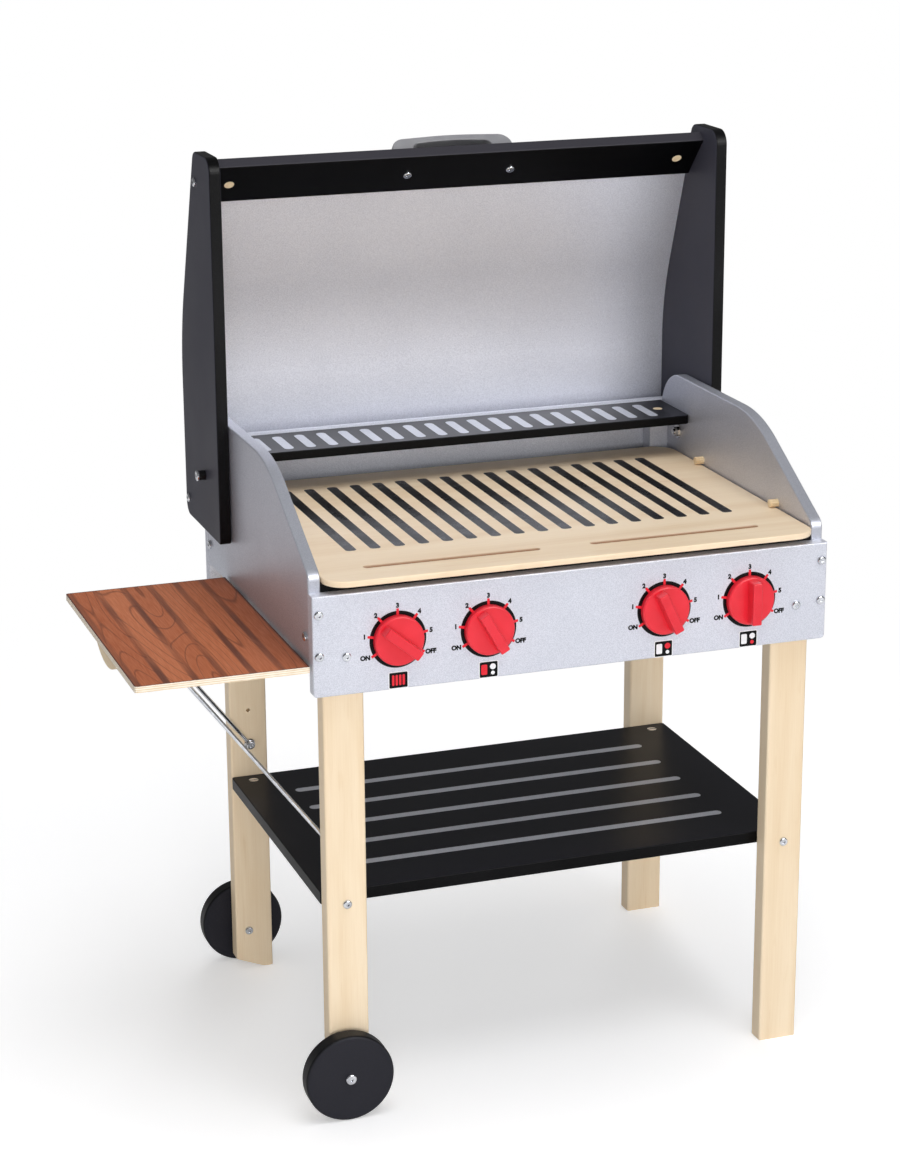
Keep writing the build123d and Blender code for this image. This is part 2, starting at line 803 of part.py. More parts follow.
def make_skin():
    """The black outer layer of the lid's shell."""
    return make_shell_layer(skin_inset, skin_inset + skin_thickness)


def make_liner():
    """The silver inner layer of the lid's shell."""
    return make_shell_layer(skin_inset + skin_thickness, shell_depth)


def make_rail():
    """The rail across the lid's lower back, which rests on the back panel when the lid is open."""
    top = rail_bottom + rail_height
    rail = block(-cheek_inner, cheek_inner, rail_front, rail_back, rail_bottom, top)
    rail = fillet(rail.faces().sort_by(Axis.Y)[0].edges().filter_by(Axis.X), edge_round)
    for side in (-1, 1):
        start = (side * cheek_inner, *cheek_bolt_places()[1])
        rail = bore(rail, start, (-side, 0, 0), screw_radius, screw_hole_depth)
    return rail


def make_cheek_bolts():
    """Screws through the cheeks into the header and the rail."""
    screws = []
    for side in (-1, 1):
        for y, z in cheek_bolt_places():
            screws.append(dome_bolt((side * cheek_outer, y, z), (side, 0, 0), screw_radius, screw_length))
    return group(screws)


def make_hinge_bushings():
    """Black collars between the hinge bolts' heads and the cheeks."""
    bushings = []
    for side in (-1, 1):
        start = (side * (cheek_outer + clearance), hinge_y, hinge_z)
        collar = rod(start, (side, 0, 0), bushing_radius, bushing_length)
        bushings.append(bore(collar, start, (side, 0, 0), bolt_radius, bushing_length))
    return group(bushings)


def make_hinge_bolts():
    """The bolts that the lid turns on."""
    bolts = []
    for side in (-1, 1):
        seat = cheek_outer + clearance + bushing_length
        length = seat - side_inner + washer_thickness + nut_thickness + bolt_past_nut
        place = (side * seat, hinge_y, hinge_z)
        bolts.append(dome_bolt(place, (side, 0, 0), bolt_radius, length, wide_head_radius))
    return group(bolts)


def make_hinge_washers():
    """Wide washers inside the side panels."""
    washers = []
    for side in (-1, 1):
        start = (side * side_inner, hinge_y, hinge_z)
        washer = rod(start, (-side, 0, 0), washer_radius, washer_thickness)
        washers.append(bore(washer, start, (-side, 0, 0), bolt_radius, washer_thickness))
    return group(washers)


def make_hinge_nuts():
    """Nuts on the hinge bolts, inside the side panels."""
    nuts = []
    for side in (-1, 1):
        nuts.append(nut((side * (side_inner - washer_thickness), hinge_y, hinge_z), (-side, 0, 0)))
    return group(nuts)


def bow_outline(half, reach, corner, base):
    """A bowed outline that stands on a base line, as a closed face in X and Y."""
    shoulder = reach - handle_bow
    crown = handle_crown_radius * half / handle_length
    points = [
        (-half, base),
        (-half + handle_lean, shoulder),
        (0, reach),
        (half - handle_lean, shoulder),
        (half, base),
    ]
    return make_face(FilletPolyline(*points, radius=[0, corner, crown, corner, 0], close=True))


def make_handle():
    """The bowed handle on the header's outer face."""
    half = handle_length / 2
    outer = bow_outline(half, handle_reach, handle_corner, 0)
    window = bow_outline(half - handle_foot, handle_reach - handle_bar, handle_corner / 2, -1)
    body = extrude(outer - window, handle_width / 2, both=True)
    faces = body.faces().sort_by(Axis.Z)
    rims = [edge for edge in faces[0].edges() + faces[-1].edges() if edge.center().Y > 0.1]
    body = fillet(rims, handle_round)
    for side in (-1, 1):
        foot = (side * handle_screw_spacing / 2, 0, handle_shift)
        body = bore(body, foot, (0, 1, 0), screw_radius, handle_screw_grip + tip_clearance)
    down, out = header_axes()
    origin = (0, *header_point(header_width / 2 + handle_shift, board))
    plane = Plane(origin=origin, x_dir=(1, 0, 0), z_dir=(0, -down[0], -down[1]))
    return plane.location * body


def make_handle_screws():
    """Screws through the header into the handle's feet."""
    down, out = header_axes()
    screws = []
    for side in (-1, 1):
        start = (side * handle_screw_spacing / 2, *header_point(header_width / 2, 0))
        screws.append(dome_bolt(start, (0, -out[0], -out[1]), screw_radius, board + handle_screw_grip))
    return group(screws)


def make_side_shelf():
    """The drop-down side shelf's board."""
    low = shelf_underside
    shelf = block(shelf_outer, shelf_inner, side_shelf_front, shelf_back, low, shelf_top)
    outer_corners = shelf.edges().filter_by(Axis.Z).group_by(Axis.X)[0]
    return fillet(outer_corners, side_shelf_corner)


def make_grip_block():
    """The half-round finger block under the shelf's outer edge."""
    half = grip_block_chord / 2
    low = (grip_block_middle, shelf_underside - grip_block_depth)
    front = (grip_block_middle - half, shelf_underside)
    back = (grip_block_middle + half, shelf_underside)
    outline = make_face(Curve() + [ThreePointArc(front, low, back), Line(back, front)])
    return extrude(Plane.YZ.offset(shelf_outer) * outline, grip_block_width)


def make_stay_cleat():
    """The strip under the shelf with the shallow saddle that the stay's bar sits in."""
    low = shelf_underside - cleat_thickness
    x0 = stay_bar_x - cleat_width / 2
    y0 = stay_bar_middle - cleat_length / 2
    cleat = block(x0, x0 + cleat_width, y0, y0 + cleat_length, low, shelf_underside)
    saddle = (stay_bar_x, y0, low + saddle_depth - saddle_radius)
    return bore(cleat, saddle, (0, 1, 0), saddle_radius, cleat_length)


def hinge_places():
    """Y of the middle of each shelf hinge."""
    return (side_shelf_front + hinge_from_end, shelf_back - hinge_from_end)


def knuckle_spans(middle):
    """The Y spans of a hinge's three knuckles: two on the fixed leaf, one between on the other."""
    third = hinge_length / 3
    start = middle - hinge_length / 2
    fixed = [(start, start + third), (start + 2 * third, start + hinge_length)]
    moving = [(start + third + clearance, start + 2 * third - clearance)]
    return fixed, moving


def hinge_leaf_solid(side, spans, gaps, middle):
    """A hinge leaf with its knuckles; side is 1 towards the stand and -1 towards the shelf."""
    y0 = middle - hinge_length / 2
    low = shelf_underside - hinge_leaf
    x_far = fold_x + side * hinge_leaf_width
    leaf = block(min(fold_x, x_far), max(fold_x, x_far), y0, y0 + hinge_length, low, shelf_underside)
    relief = knuckle_radius + 2 * clearance
    left, right = fold_x - relief, fold_x + relief
    for start, end in gaps:
        leaf -= block(left, right, start - clearance, end + clearance, low, shelf_underside)
    for start, end in spans:
        leaf += rod((fold_x, start, fold_z), (0, 1, 0), knuckle_radius, end - start)
    return bore(leaf, (fold_x, y0, fold_z), (0, 1, 0), knuckle_pin + running_fit, hinge_length)


def make_fixed_leaves():
    """The hinge leaves under the left side panel."""
    leaves = []
    for middle in hinge_places():
        fixed, moving = knuckle_spans(middle)
        leaves.append(hinge_leaf_solid(1, fixed, moving, middle))
    return group(leaves)


def make_moving_leaves():
    """The hinge leaves under the side shelf."""
    leaves = []
    for middle in hinge_places():
        fixed, moving = knuckle_spans(middle)
        leaves.append(hinge_leaf_solid(-1, moving, fixed, middle))
    return group(leaves)


def make_hinge_pins():
    """The pins of the shelf hinges."""
    pins = []
    for middle in hinge_places():
        start = (fold_x, middle - hinge_length / 2, fold_z)
        pins.append(rod(start, (0, 1, 0), knuckle_pin, hinge_length))
    return group(pins)


def make_stay():
    """The wire stay: an eye at each leg, two arms and a bar that seats under the shelf."""
    arm = Vector(stay_bar_x + stay_pivot_x, 0, stay_bar_z - stay_pivot_z).normalized()
    start = Vector(-stay_pivot_x, 0, stay_pivot_z) + arm * eye_radius
    straight = start + arm * stay_straight
    corners = [
        (start.X, stay_arm_front, start.Z),
        (straight.X, stay_arm_front, straight.Z),
        (stay_bar_x, stay_bar_front, stay_bar_z),
        (stay_bar_x, stay_bar_back, stay_bar_z),
        (straight.X, stay_arm_back, straight.Z),
        (start.X, stay_arm_back, start.Z),
    ]
    path = FilletPolyline(*corners, radius=[stay_bend * 3, stay_bend, stay_bend, stay_bend * 3])
    section = Plane(origin=path @ 0, z_dir=path % 0) * Circle(stay_wire)
    stay = sweep(section, path=path)
    for y in (stay_arm_front, stay_arm_back):
        ring = Plane(origin=(-stay_pivot_x, y, stay_pivot_z), z_dir=(0, 1, 0)).location
        stay += ring * Torus(eye_radius, stay_wire)
    return stay


def make_stay_screws():
    """The screws that the stay's eyes turn on, each with a broad washer under its head."""
    eye_space = 2 * stay_wire + 3 * clearance
    length = stay_washer + eye_space + stay_screw_grip
    screws = []
    for face, outward in ((front_leg_back, 1), (rear_leg_front, -1)):
        seat = (-stay_pivot_x, face + outward * eye_space, stay_pivot_z)
        washer = rod(seat, (0, outward, 0), stay_washer_radius, stay_washer)
        head = (-stay_pivot_x, face + outward * (eye_space + stay_washer), stay_pivot_z)
        screws.append(washer + dome_bolt(head, (0, outward, 0), screw_radius, length))
    return group(screws)


def build_all():
    """Every node of the grill, by name."""
    nodes = {
        "front_panel": make_front_panel(),
        "side_panel_left": make_side_panel(-1),
        "side_panel_right": make_side_panel(1),
        "back_panel": make_back_panel(),
        "leg_front_left": make_leg(-1, True),
        "leg_front_right": make_leg(1, True),
        "leg_rear_left": make_leg(-1, False),
        "leg_rear_right": make_leg(1, False),
        "lower_shelf": make_lower_shelf(),
        "barrel_nuts": make_barrel_nuts(),
        "leg_bolts": make_leg_bolts(),
        "hob_board": make_hob_board(),
        "corner_post_left": make_corner_post(-1),
        "corner_post_right": make_corner_post(1),
        "warming_shelf": make_warming_shelf(),
        "warming_shelf_plugs": make_warming_plugs(),
        "warming_shelf_nuts": make_warming_nuts(),
        "warming_shelf_bolts": make_warming_bolts(),
        "plate_pegs": make_plate_pegs(),
        "panel_screws": make_panel_screws(),
        "side_screws": make_side_screws(),
        "back_screws": make_back_screws(),
        "grill_plate": make_grill_plate(),
        "wheel_front": make_wheel(True),
        "wheel_rear": make_wheel(False),
        "wheel_spacers": make_wheel_spacers(),
        "axle_bolts": make_axle_bolts(),
        "axle_nuts": make_axle_nuts(),
        "lid_cheek_left": make_cheek(-1),
        "lid_cheek_right": make_cheek(1),
        "lid_header": make_header(),
        "lid_header_plugs": make_header_plugs(),
        "lid_header_nuts": make_header_nuts(),
        "lid_skin": make_skin(),
        "lid_liner": make_liner(),
        "lid_rail": make_rail(),
        "lid_screws": make_cheek_bolts(),
        "lid_handle": make_handle(),
        "handle_screws": make_handle_screws(),
        "lid_hinge_bushings": make_hinge_bushings(),
        "lid_hinge_bolts": make_hinge_bolts(),
        "lid_hinge_washers": make_hinge_washers(),
        "lid_hinge_nuts": make_hinge_nuts(),
        "side_shelf": make_side_shelf(),
        "shelf_grip_block": make_grip_block(),
        "stay_cleat": make_stay_cleat(),
        "shelf_hinge_fixed_leaves": make_fixed_leaves(),
        "shelf_hinge_moving_leaves": make_moving_leaves(),
        "shelf_hinge_pins": make_hinge_pins(),
        "wire_stay": make_stay(),
        "stay_screws": make_stay_screws(),
    }
    for number, (x, pointer) in enumerate(zip(knob_places(), knob_pointer_angles), start=1):
        nodes[f"knob_{number}"] = make_knob(x, pointer)
        nodes[f"knob_screw_{number}"] = make_knob_screw(x)
    return nodes


def footprint_shift(nodes):
    """The move that puts the middle of the whole footprint at the origin."""
    boxes = [node.bounding_box() for node in nodes.values()]
    x = (min(box.min.X for box in boxes) + max(box.max.X for box in boxes)) / 2
    y = (min(box.min.Y for box in boxes) + max(box.max.Y for box in boxes)) / 2
    return Vector(-x, -y, 0)


def place_at_origin(nodes):
    """Move every node so that the footprint's middle is the origin."""
    shift = footprint_shift(nodes)
    return {name: Location(shift) * node for name, node in nodes.items()}


def main():
    """Write one file per node."""
    os.makedirs("parts", exist_ok=True)
    for name, node in place_at_origin(build_all()).items():
        export_step(node, f"parts/{name}.step")


if __name__ == "__main__":
    main()
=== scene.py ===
"""Finishes, printed marks, floor, lights and camera for the toy barbecue grill.

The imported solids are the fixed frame. Everything is in metres in the frame's own axes:
X to the right, Y to the back and Z up, with the floor at zero.
"""

import json
import logging
import math
from dataclasses import dataclass, field
from enum import Enum
from typing import Dict, List, Sequence, Tuple

import bmesh
import bpy
from mathutils import Matrix, Vector


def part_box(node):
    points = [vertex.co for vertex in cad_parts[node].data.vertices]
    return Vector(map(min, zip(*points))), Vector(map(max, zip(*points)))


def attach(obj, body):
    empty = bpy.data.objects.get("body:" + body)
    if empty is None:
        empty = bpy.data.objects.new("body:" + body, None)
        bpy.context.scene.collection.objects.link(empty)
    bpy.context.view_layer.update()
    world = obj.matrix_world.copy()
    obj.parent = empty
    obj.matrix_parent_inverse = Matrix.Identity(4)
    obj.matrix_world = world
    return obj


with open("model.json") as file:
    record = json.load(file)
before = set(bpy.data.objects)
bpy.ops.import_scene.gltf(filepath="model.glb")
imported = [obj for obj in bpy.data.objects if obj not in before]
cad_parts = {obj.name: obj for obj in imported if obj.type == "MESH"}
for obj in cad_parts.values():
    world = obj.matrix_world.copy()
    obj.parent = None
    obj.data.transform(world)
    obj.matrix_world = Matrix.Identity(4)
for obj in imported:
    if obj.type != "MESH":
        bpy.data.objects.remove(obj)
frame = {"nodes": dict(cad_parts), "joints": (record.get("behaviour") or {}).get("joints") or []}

LOG = logging.getLogger("grill")
MM = 0.001

Colour = Tuple[float, float, float]
Point2 = Tuple[float, float]
Point3 = Tuple[float, float, float]
Direction = Tuple[float, float, float]
Socket = bpy.types.NodeSocket
X_AXIS: Direction = (1.0, 0.0, 0.0)
Y_AXIS: Direction = (0.0, 1.0, 0.0)
Z_AXIS: Direction = (0.0, 0.0, 1.0)
# The range that most of a soft noise's values lie in.
NOISE_SPAN: Tuple[float, float] = (0.3, 0.7)
# How far a face still looks along its board's axis where the edge starts, and where it is all edge.
EDGE_TURN: Tuple[float, float] = (0.93, 0.55)
# Steps round each rounded corner of a printed bar.
CORNER_STEPS = 6


class Grain(Enum):
    """The direction that a board's grain runs in."""

    ALONG_X = (0.06, 1.0, 1.0)
    ALONG_Y = (1.0, 0.06, 1.0)
    ALONG_Z = (1.0, 1.0, 0.06)


class Burner(Enum):
    """The little map under each dial: which part of the grill it turns on."""

    BARS = "four bars"
    LEFT = "left plate"
    TOP_RING = "upper ring"
    LOW_RING = "lower ring"


def linear(colour: Colour) -> Tuple[float, float, float, float]:
    """Turn a screen colour into a render colour.

    Args:
        colour: Red, green and blue from 0 to 255.

    Returns:
        Linear red, green, blue and full alpha.
    """
    channels = [value / 255.0 for value in colour]
    spread = [c / 12.92 if c <= 0.04045 else ((c + 0.055) / 1.055) ** 2.4 for c in channels]
    return (spread[0], spread[1], spread[2], 1.0)


class Graph:
    """One material's node tree around its glossy shader."""

    def __init__(self, name: str) -> None:
        """Start a material.

        Args:
            name: The material's name.
        """
        self.material = bpy.data.materials.new(name)
        self.material.use_nodes = True
        self.tree = self.material.node_tree
        self.shader = self.tree.nodes["Principled BSDF"]
        coordinates = self.tree.nodes.new("ShaderNodeTexCoord")
        self.place = coordinates.outputs["Object"]
        self.normal = coordinates.outputs["Normal"]

    @classmethod
    def on(cls, material: bpy.types.Material) -> "Graph":
        """Go on with a finished material.

        Args:
            material: A material that another graph made.

        Returns:
            A graph on the same nodes.
        """
        graph = cls.__new__(cls)
        graph.material = material
        graph.tree = material.node_tree
        graph.shader = graph.tree.nodes["Principled BSDF"]
        coordinates = graph.tree.nodes["Texture Coordinate"]
        graph.place = coordinates.outputs["Object"]
        graph.normal = coordinates.outputs["Normal"]
        return graph

    def node(self, kind: str, settings: Dict[str, object], inputs: Dict[object, object]) -> bpy.types.Node:
        """Add a node.

        Args:
            kind: Blender's name for the node type.
            settings: Properties of the node itself.
            inputs: A value or a socket for each input, by name or number.

        Returns:
            The new node.
        """
        made = self.tree.nodes.new(kind)
        for key, value in settings.items():
            setattr(made, key, value)
        for key, value in inputs.items():
            if isinstance(value, bpy.types.NodeSocket):
                self.tree.links.new(value, made.inputs[key])
            else:
                made.inputs[key].default_value = value
        return made

    def stretched(self, scale: Sequence[float], shift: Sequence[float] = (0, 0, 0)) -> Socket:
        """Object coordinates, scaled along each axis and then moved.

        Args:
            scale: A factor for each axis.
            shift: How far to move along each axis.

        Returns:
            The changed coordinates.
        """
        settings = {"Scale": tuple(scale), "Location": tuple(shift), "Vector": self.place}
        return self.node("ShaderNodeMapping", {}, settings).outputs[0]

    def noise(self, scale: float, stretch: Sequence[float] = (1, 1, 1), detail: float = 3.0,
              twist: float = 0.0) -> Socket:
        """Soft noise from 0 to 1.

        Args:
            scale: Spots per metre, about.
            stretch: Factors on the object coordinates.
            detail: Octaves.
            twist: How far the noise distorts itself.

        Returns:
            The noise value.
        """
        inputs = {"Vector": self.stretched(stretch), "Scale": scale, "Detail": detail, "Distortion": twist}
        return self.node("ShaderNodeTexNoise", {}, inputs).outputs["Fac"]

    def math(self, kind: str, first: object, second: object = 0.0) -> Socket:
        """One step of arithmetic.

        Args:
            kind: Blender's name for the operation.
            first: A value or a socket.
            second: A value or a socket, for the operations that take two.

        Returns:
            The result.
        """
        return self.node("ShaderNodeMath", {"operation": kind}, {0: first, 1: second}).outputs[0]

    def spread(self, value: Socket, low: float, high: float, start: float = 0.0, end: float = 1.0) -> Socket:
        """Map a value from one range onto another, held at the ends.

        Args:
            value: The value to map.
            low: Where the first range starts.
            high: Where the first range ends.
            start: What the result is at low.
            end: What the result is at high.

        Returns:
            The mapped value.
        """
        inputs = {"Value": value, "From Min": low, "From Max": high, "To Min": start, "To Max": end}
        return self.node("ShaderNodeMapRange", {}, inputs).outputs[0]

    def blend(self, share: object, first: object, second: object) -> Socket:
        """Mix two colours.

        Args:
            share: 0 for the first colour, 1 for the second.
            first: A colour socket or a screen colour.
            second: A colour socket or a screen colour.

        Returns:
            The mixed colour.
        """
        made = self.node("ShaderNodeMix", {"data_type": "RGBA"}, {0: share})
        for number, colour in ((6, first), (7, second)):
            if isinstance(colour, bpy.types.NodeSocket):
                self.tree.links.new(colour, made.inputs[number])
            else:
                made.inputs[number].default_value = linear(colour)
        return made.outputs[2]

    def facing(self, axis: Direction) -> Socket:
        """How far the surface faces along a direction.

        Args:
            axis: The direction.

        Returns:
            A value from -1 to 1.
        """
        inputs = {0: self.normal, 1: axis}
        return self.node("ShaderNodeVectorMath", {"operation": "DOT_PRODUCT"}, inputs).outputs["Value"]

    def edge(self, axis: Direction, most: float = 1.0) -> Socket:
        """Tell a board's edges from its faces.

        Args:
            axis: The direction that the board's faces look along.
            most: The value on an edge.

        Returns:
            0 on a face, rising to the value on an edge.
        """
        facing = self.math("ABSOLUTE", self.facing(axis))
        return self.spread(facing, *EDGE_TURN, 0.0, most)

    def along(self, axis: str) -> Socket:
        """The object coordinate along an axis.

        Args:
            axis: X, Y or Z.

        Returns:
            The coordinate in metres.
        """
        return self.node("ShaderNodeSeparateXYZ", {}, {0: self.place}).outputs[axis]

    def bump(self, height: Socket, depth_mm: float, strength: float = 1.0) -> None:
        """Give the shader a relief.

        Args:
            height: The relief's height from 0 to 1.
            depth_mm: Its depth in millimetres.
            strength: How much of it shows.
        """
        inputs = {"Height": height, "Distance": depth_mm * MM, "Strength": strength}
        relief = self.node("ShaderNodeBump", {}, inputs)
        self.tree.links.new(relief.outputs[0], self.shader.inputs["Normal"])

    def finish(self, colour: object, roughness: object, metallic: float = 0.0,
               specular: float = 0.5) -> bpy.types.Material:
        """Connect the shader's main inputs.

        Args:
            colour: A colour socket or a screen colour.
            roughness: A value or a socket.
            metallic: 0 for paint or wood, 1 for bare metal.
            specular: Strength of the plain reflection.

        Returns:
            The finished material.
        """
        values = {"Base Color": colour, "Roughness": roughness}
        for key, value in values.items():
            if isinstance(value, bpy.types.NodeSocket):
                self.tree.links.new(value, self.shader.inputs[key])
            elif key == "Base Color":
                self.shader.inputs[key].default_value = linear(value)
            else:
                self.shader.inputs[key].default_value = value
        self.shader.inputs["Metallic"].default_value = metallic
        self.shader.inputs["Specular IOR Level"].default_value = specular
        return self.material


@dataclass(frozen=True)
class LacqueredWood:
    """Pale solid wood under a thin satin lacquer."""

    name: str
    pale: Colour
    deep: Colour
    grain: Grain
    figure: float = 26.0
    contrast: float = 0.55

    def build(self) -> bpy.types.Material:
        """Growth figure, fine fibres, short flecks and a slightly uneven sheen."""
        graph = Graph(self.name)
        run = self.grain.value
        figure = graph.noise(self.figure, run, 3.0, 1.6)
        fibres = graph.noise(900.0, tuple(0.35 * f if f < 1 else f for f in run), 2.0)
        flecks = graph.noise(260.0, tuple(1.6 * f if f < 1 else f for f in run), 1.0)
        cloud = graph.noise(7.0, (1, 1, 1), 2.0)
        tone = graph.math("MULTIPLY", graph.spread(figure, 0.34, 0.68), self.contrast)
        tone = graph.math("ADD", tone, graph.spread(fibres, *NOISE_SPAN, -0.10, 0.10))
        tone = graph.math("ADD", tone, graph.spread(cloud, *NOISE_SPAN, -0.08, 0.12))
        tone = graph.math("ADD", tone, graph.spread(flecks, 0.66, 0.74, 0.0, 0.18))
        colour = graph.blend(graph.spread(tone, 0.0, 1.0), self.pale, self.deep)
        graph.bump(fibres, 0.03)
        return graph.finish(colour, graph.spread(cloud, 0.2, 0.8, 0.38, 0.50), specular=0.35)


@dataclass(frozen=True)
class FlakePaint:
    """Silver paint with fine flakes, as on the panels and inside the lid."""

    name: str
    colour: Colour
    shade: Colour
    flakes: float = 1250.0
    metallic: float = 0.3
    roughness: float = 0.42
    # Painted shade on a board's edges: its colour, and below, how strongly the edges take it.
    edge_shade: Colour = (166, 169, 180)
    face_axis: Direction = X_AXIS
    edge_shade_share: float = 0.0

    def build(self) -> bpy.types.Material:
        """Fine bright and dull flakes over a faintly clouded base, with painted shade darkening the board's
        edges.
        """
        graph = Graph(self.name)
        flakes = graph.noise(self.flakes, detail=0.0)
        sparks = graph.noise(2.2 * self.flakes, detail=0.0)
        cloud = graph.noise(14.0, detail=2.0)
        share = graph.math("ADD", graph.spread(flakes, 0.25, 0.75, 0.0, 0.65),
                           graph.spread(cloud, *NOISE_SPAN, 0.0, 0.15))
        share = graph.math("ADD", share, graph.spread(sparks, *NOISE_SPAN, -0.1, 0.30))
        colour = graph.blend(graph.spread(share, 0.0, 1.0), self.colour, self.shade)
        # Painted shade: the edges darken towards the edge colour.
        colour = graph.blend(graph.edge(self.face_axis, self.edge_shade_share), colour, self.edge_shade)
        rough = graph.spread(flakes, *NOISE_SPAN, self.roughness - 0.07, self.roughness + 0.08)
        graph.bump(flakes, 0.03, 0.6)
        return graph.finish(colour, rough, self.metallic)


@dataclass(frozen=True)
class BoardPaint:
    """Opaque paint on a board, whose edges may differ from its faces in tone and gloss."""

    name: str
    colour: Colour
    edge_colour: Colour
    face_axis: Direction
    face_roughness: float = 0.42
    edge_roughness: float = 0.24
    specular: float = 0.4
    dust: float = 0.05
    dust_colour: Colour = (128, 128, 136)

    def build(self) -> bpy.types.Material:
        """Slight brush ripple, dust and a change of tone at the edges."""
        graph = Graph(self.name)
        ripple = graph.noise(230.0, detail=2.0)
        dust = graph.noise(1100.0, detail=2.0)
        cloud = graph.noise(9.0, detail=3.0)
        edge = graph.edge(self.face_axis)
        base = graph.blend(edge, self.colour, self.edge_colour)
        lift = graph.math("ADD", graph.spread(dust, 0.56, 0.74, 0.0, self.dust),
                          graph.spread(cloud, 0.4, 0.8, 0.0, 0.5 * self.dust))
        colour = graph.blend(lift, base, self.dust_colour)
        rough = graph.spread(edge, 0.0, 1.0, self.face_roughness, self.edge_roughness)
        rough = graph.math("ADD", rough, graph.spread(cloud, *NOISE_SPAN, -0.04, 0.05))
        graph.bump(ripple, 0.05, 0.35)
        return graph.finish(colour, rough, specular=self.specular)


@dataclass(frozen=True)
class MouldedPlastic:
    """Solid coloured plastic with a fine moulded texture."""

    name: str
    colour: Colour
    shade: Colour
    roughness: float = 0.36
    texture: float = 1500.0

    def build(self) -> bpy.types.Material:
        """Fine moulded grain and a faint flow of tone."""
        graph = Graph(self.name)
        grain = graph.noise(self.texture, detail=2.0)
        flow = graph.noise(40.0, detail=2.0)
        colour = graph.blend(graph.spread(flow, 0.35, 0.7), self.colour, self.shade)
        rough = graph.spread(grain, *NOISE_SPAN, self.roughness - 0.05, self.roughness + 0.07)
        graph.bump(grain, 0.02, 0.5)
        return graph.finish(colour, rough)


@dataclass(frozen=True)
class BareMetal:
    """Plated metal with handling marks."""

    name: str
    colour: Colour
    shade: Colour
    roughness: float

    def build(self) -> bpy.types.Material:
        """Fine streaks and dull patches."""
        graph = Graph(self.name)
        patches = graph.noise(120.0, detail=3.0)
        streaks = graph.noise(1500.0, (1, 1, 0.2), 2.0)
        colour = graph.blend(graph.spread(patches, 0.35, 0.7), self.colour, self.shade)
        rough = graph.spread(patches, *NOISE_SPAN, self.roughness - 0.05, self.roughness + 0.08)
        rough = graph.math("ADD", rough, graph.spread(streaks, *NOISE_SPAN, -0.03, 0.03))
        graph.bump(streaks, 0.01, 0.5)
        return graph.finish(colour, rough, 1.0)


@dataclass(frozen=True)
class PrintInk:
    """Screen-printed ink, a hair above the surface that it's on."""

    name: str
    colour: Colour
    shade: Colour
    roughness: float = 0.30
    metallic: float = 0.0
    specular: float = 0.3

    def build(self) -> bpy.types.Material:
        """A faint mesh mottle in colour and gloss."""
        graph = Graph(self.name)
        mottle = graph.noise(1700.0, detail=2.0)
        wear = graph.noise(60.0, detail=3.0)
        colour = graph.blend(graph.spread(mottle, 0.35, 0.75), self.colour, self.shade)
        rough = graph.spread(wear, *NOISE_SPAN, self.roughness - 0.05, self.roughness + 0.06)
        rough = graph.math("ADD", rough, graph.spread(mottle, *NOISE_SPAN, -0.03, 0.03))
        graph.bump(mottle, 0.008, 0.5)
        return graph.finish(colour, rough, self.metallic, specular=self.specular)


@dataclass(frozen=True)
class GroovedMaple(LacqueredWood):
    """The plate's wood, with painted shade in its routed grooves."""

    # The plate's upper face and the grooves' middle, in metres.
    top: float = 0.0
    groove_y: float = 0.0
    # How far the painted groove shade reaches to either side, and how deep it is at its full strength, in
    # millimetres.
    groove_shade_half: float = 5.0
    groove_shade_depth: float = 1.6
    # The colour of the painted shade in the grooves.
    groove_shade: Colour = (150, 104, 68)

    def build(self) -> bpy.types.Material:
        """Wood with painted shade in the grooves, stronger the deeper the surface lies."""
        material = super().build()
        graph = Graph.on(material)
        rim = graph.spread(graph.along("Z"), self.top - 0.02 * MM, self.top - 0.08 * MM)
        # Painted shade: deeper surfaces in a groove take more of the shade colour, from 0.35 at its rim to
        # 0.95.
        depth = graph.spread(graph.along("Z"), self.top, self.top - self.groove_shade_depth * MM, 0.35, 0.95)
        depth = graph.math("MULTIPLY", rim, depth)
        offset = graph.math("ABSOLUTE", graph.math("SUBTRACT", graph.along("Y"), self.groove_y))
        strip = graph.spread(offset, (self.groove_shade_half + 0.5) * MM, self.groove_shade_half * MM)
        share = graph.math("MULTIPLY", depth, strip)
        upward = graph.spread(graph.facing(Z_AXIS), -0.4, -0.1)
        share = graph.math("MULTIPLY", share, upward)
        wood = graph.shader.inputs["Base Color"].links[0].from_socket
        shaded_wood = graph.blend(share, wood, self.groove_shade)
        graph.tree.links.new(shaded_wood, graph.shader.inputs["Base Color"])
        return material


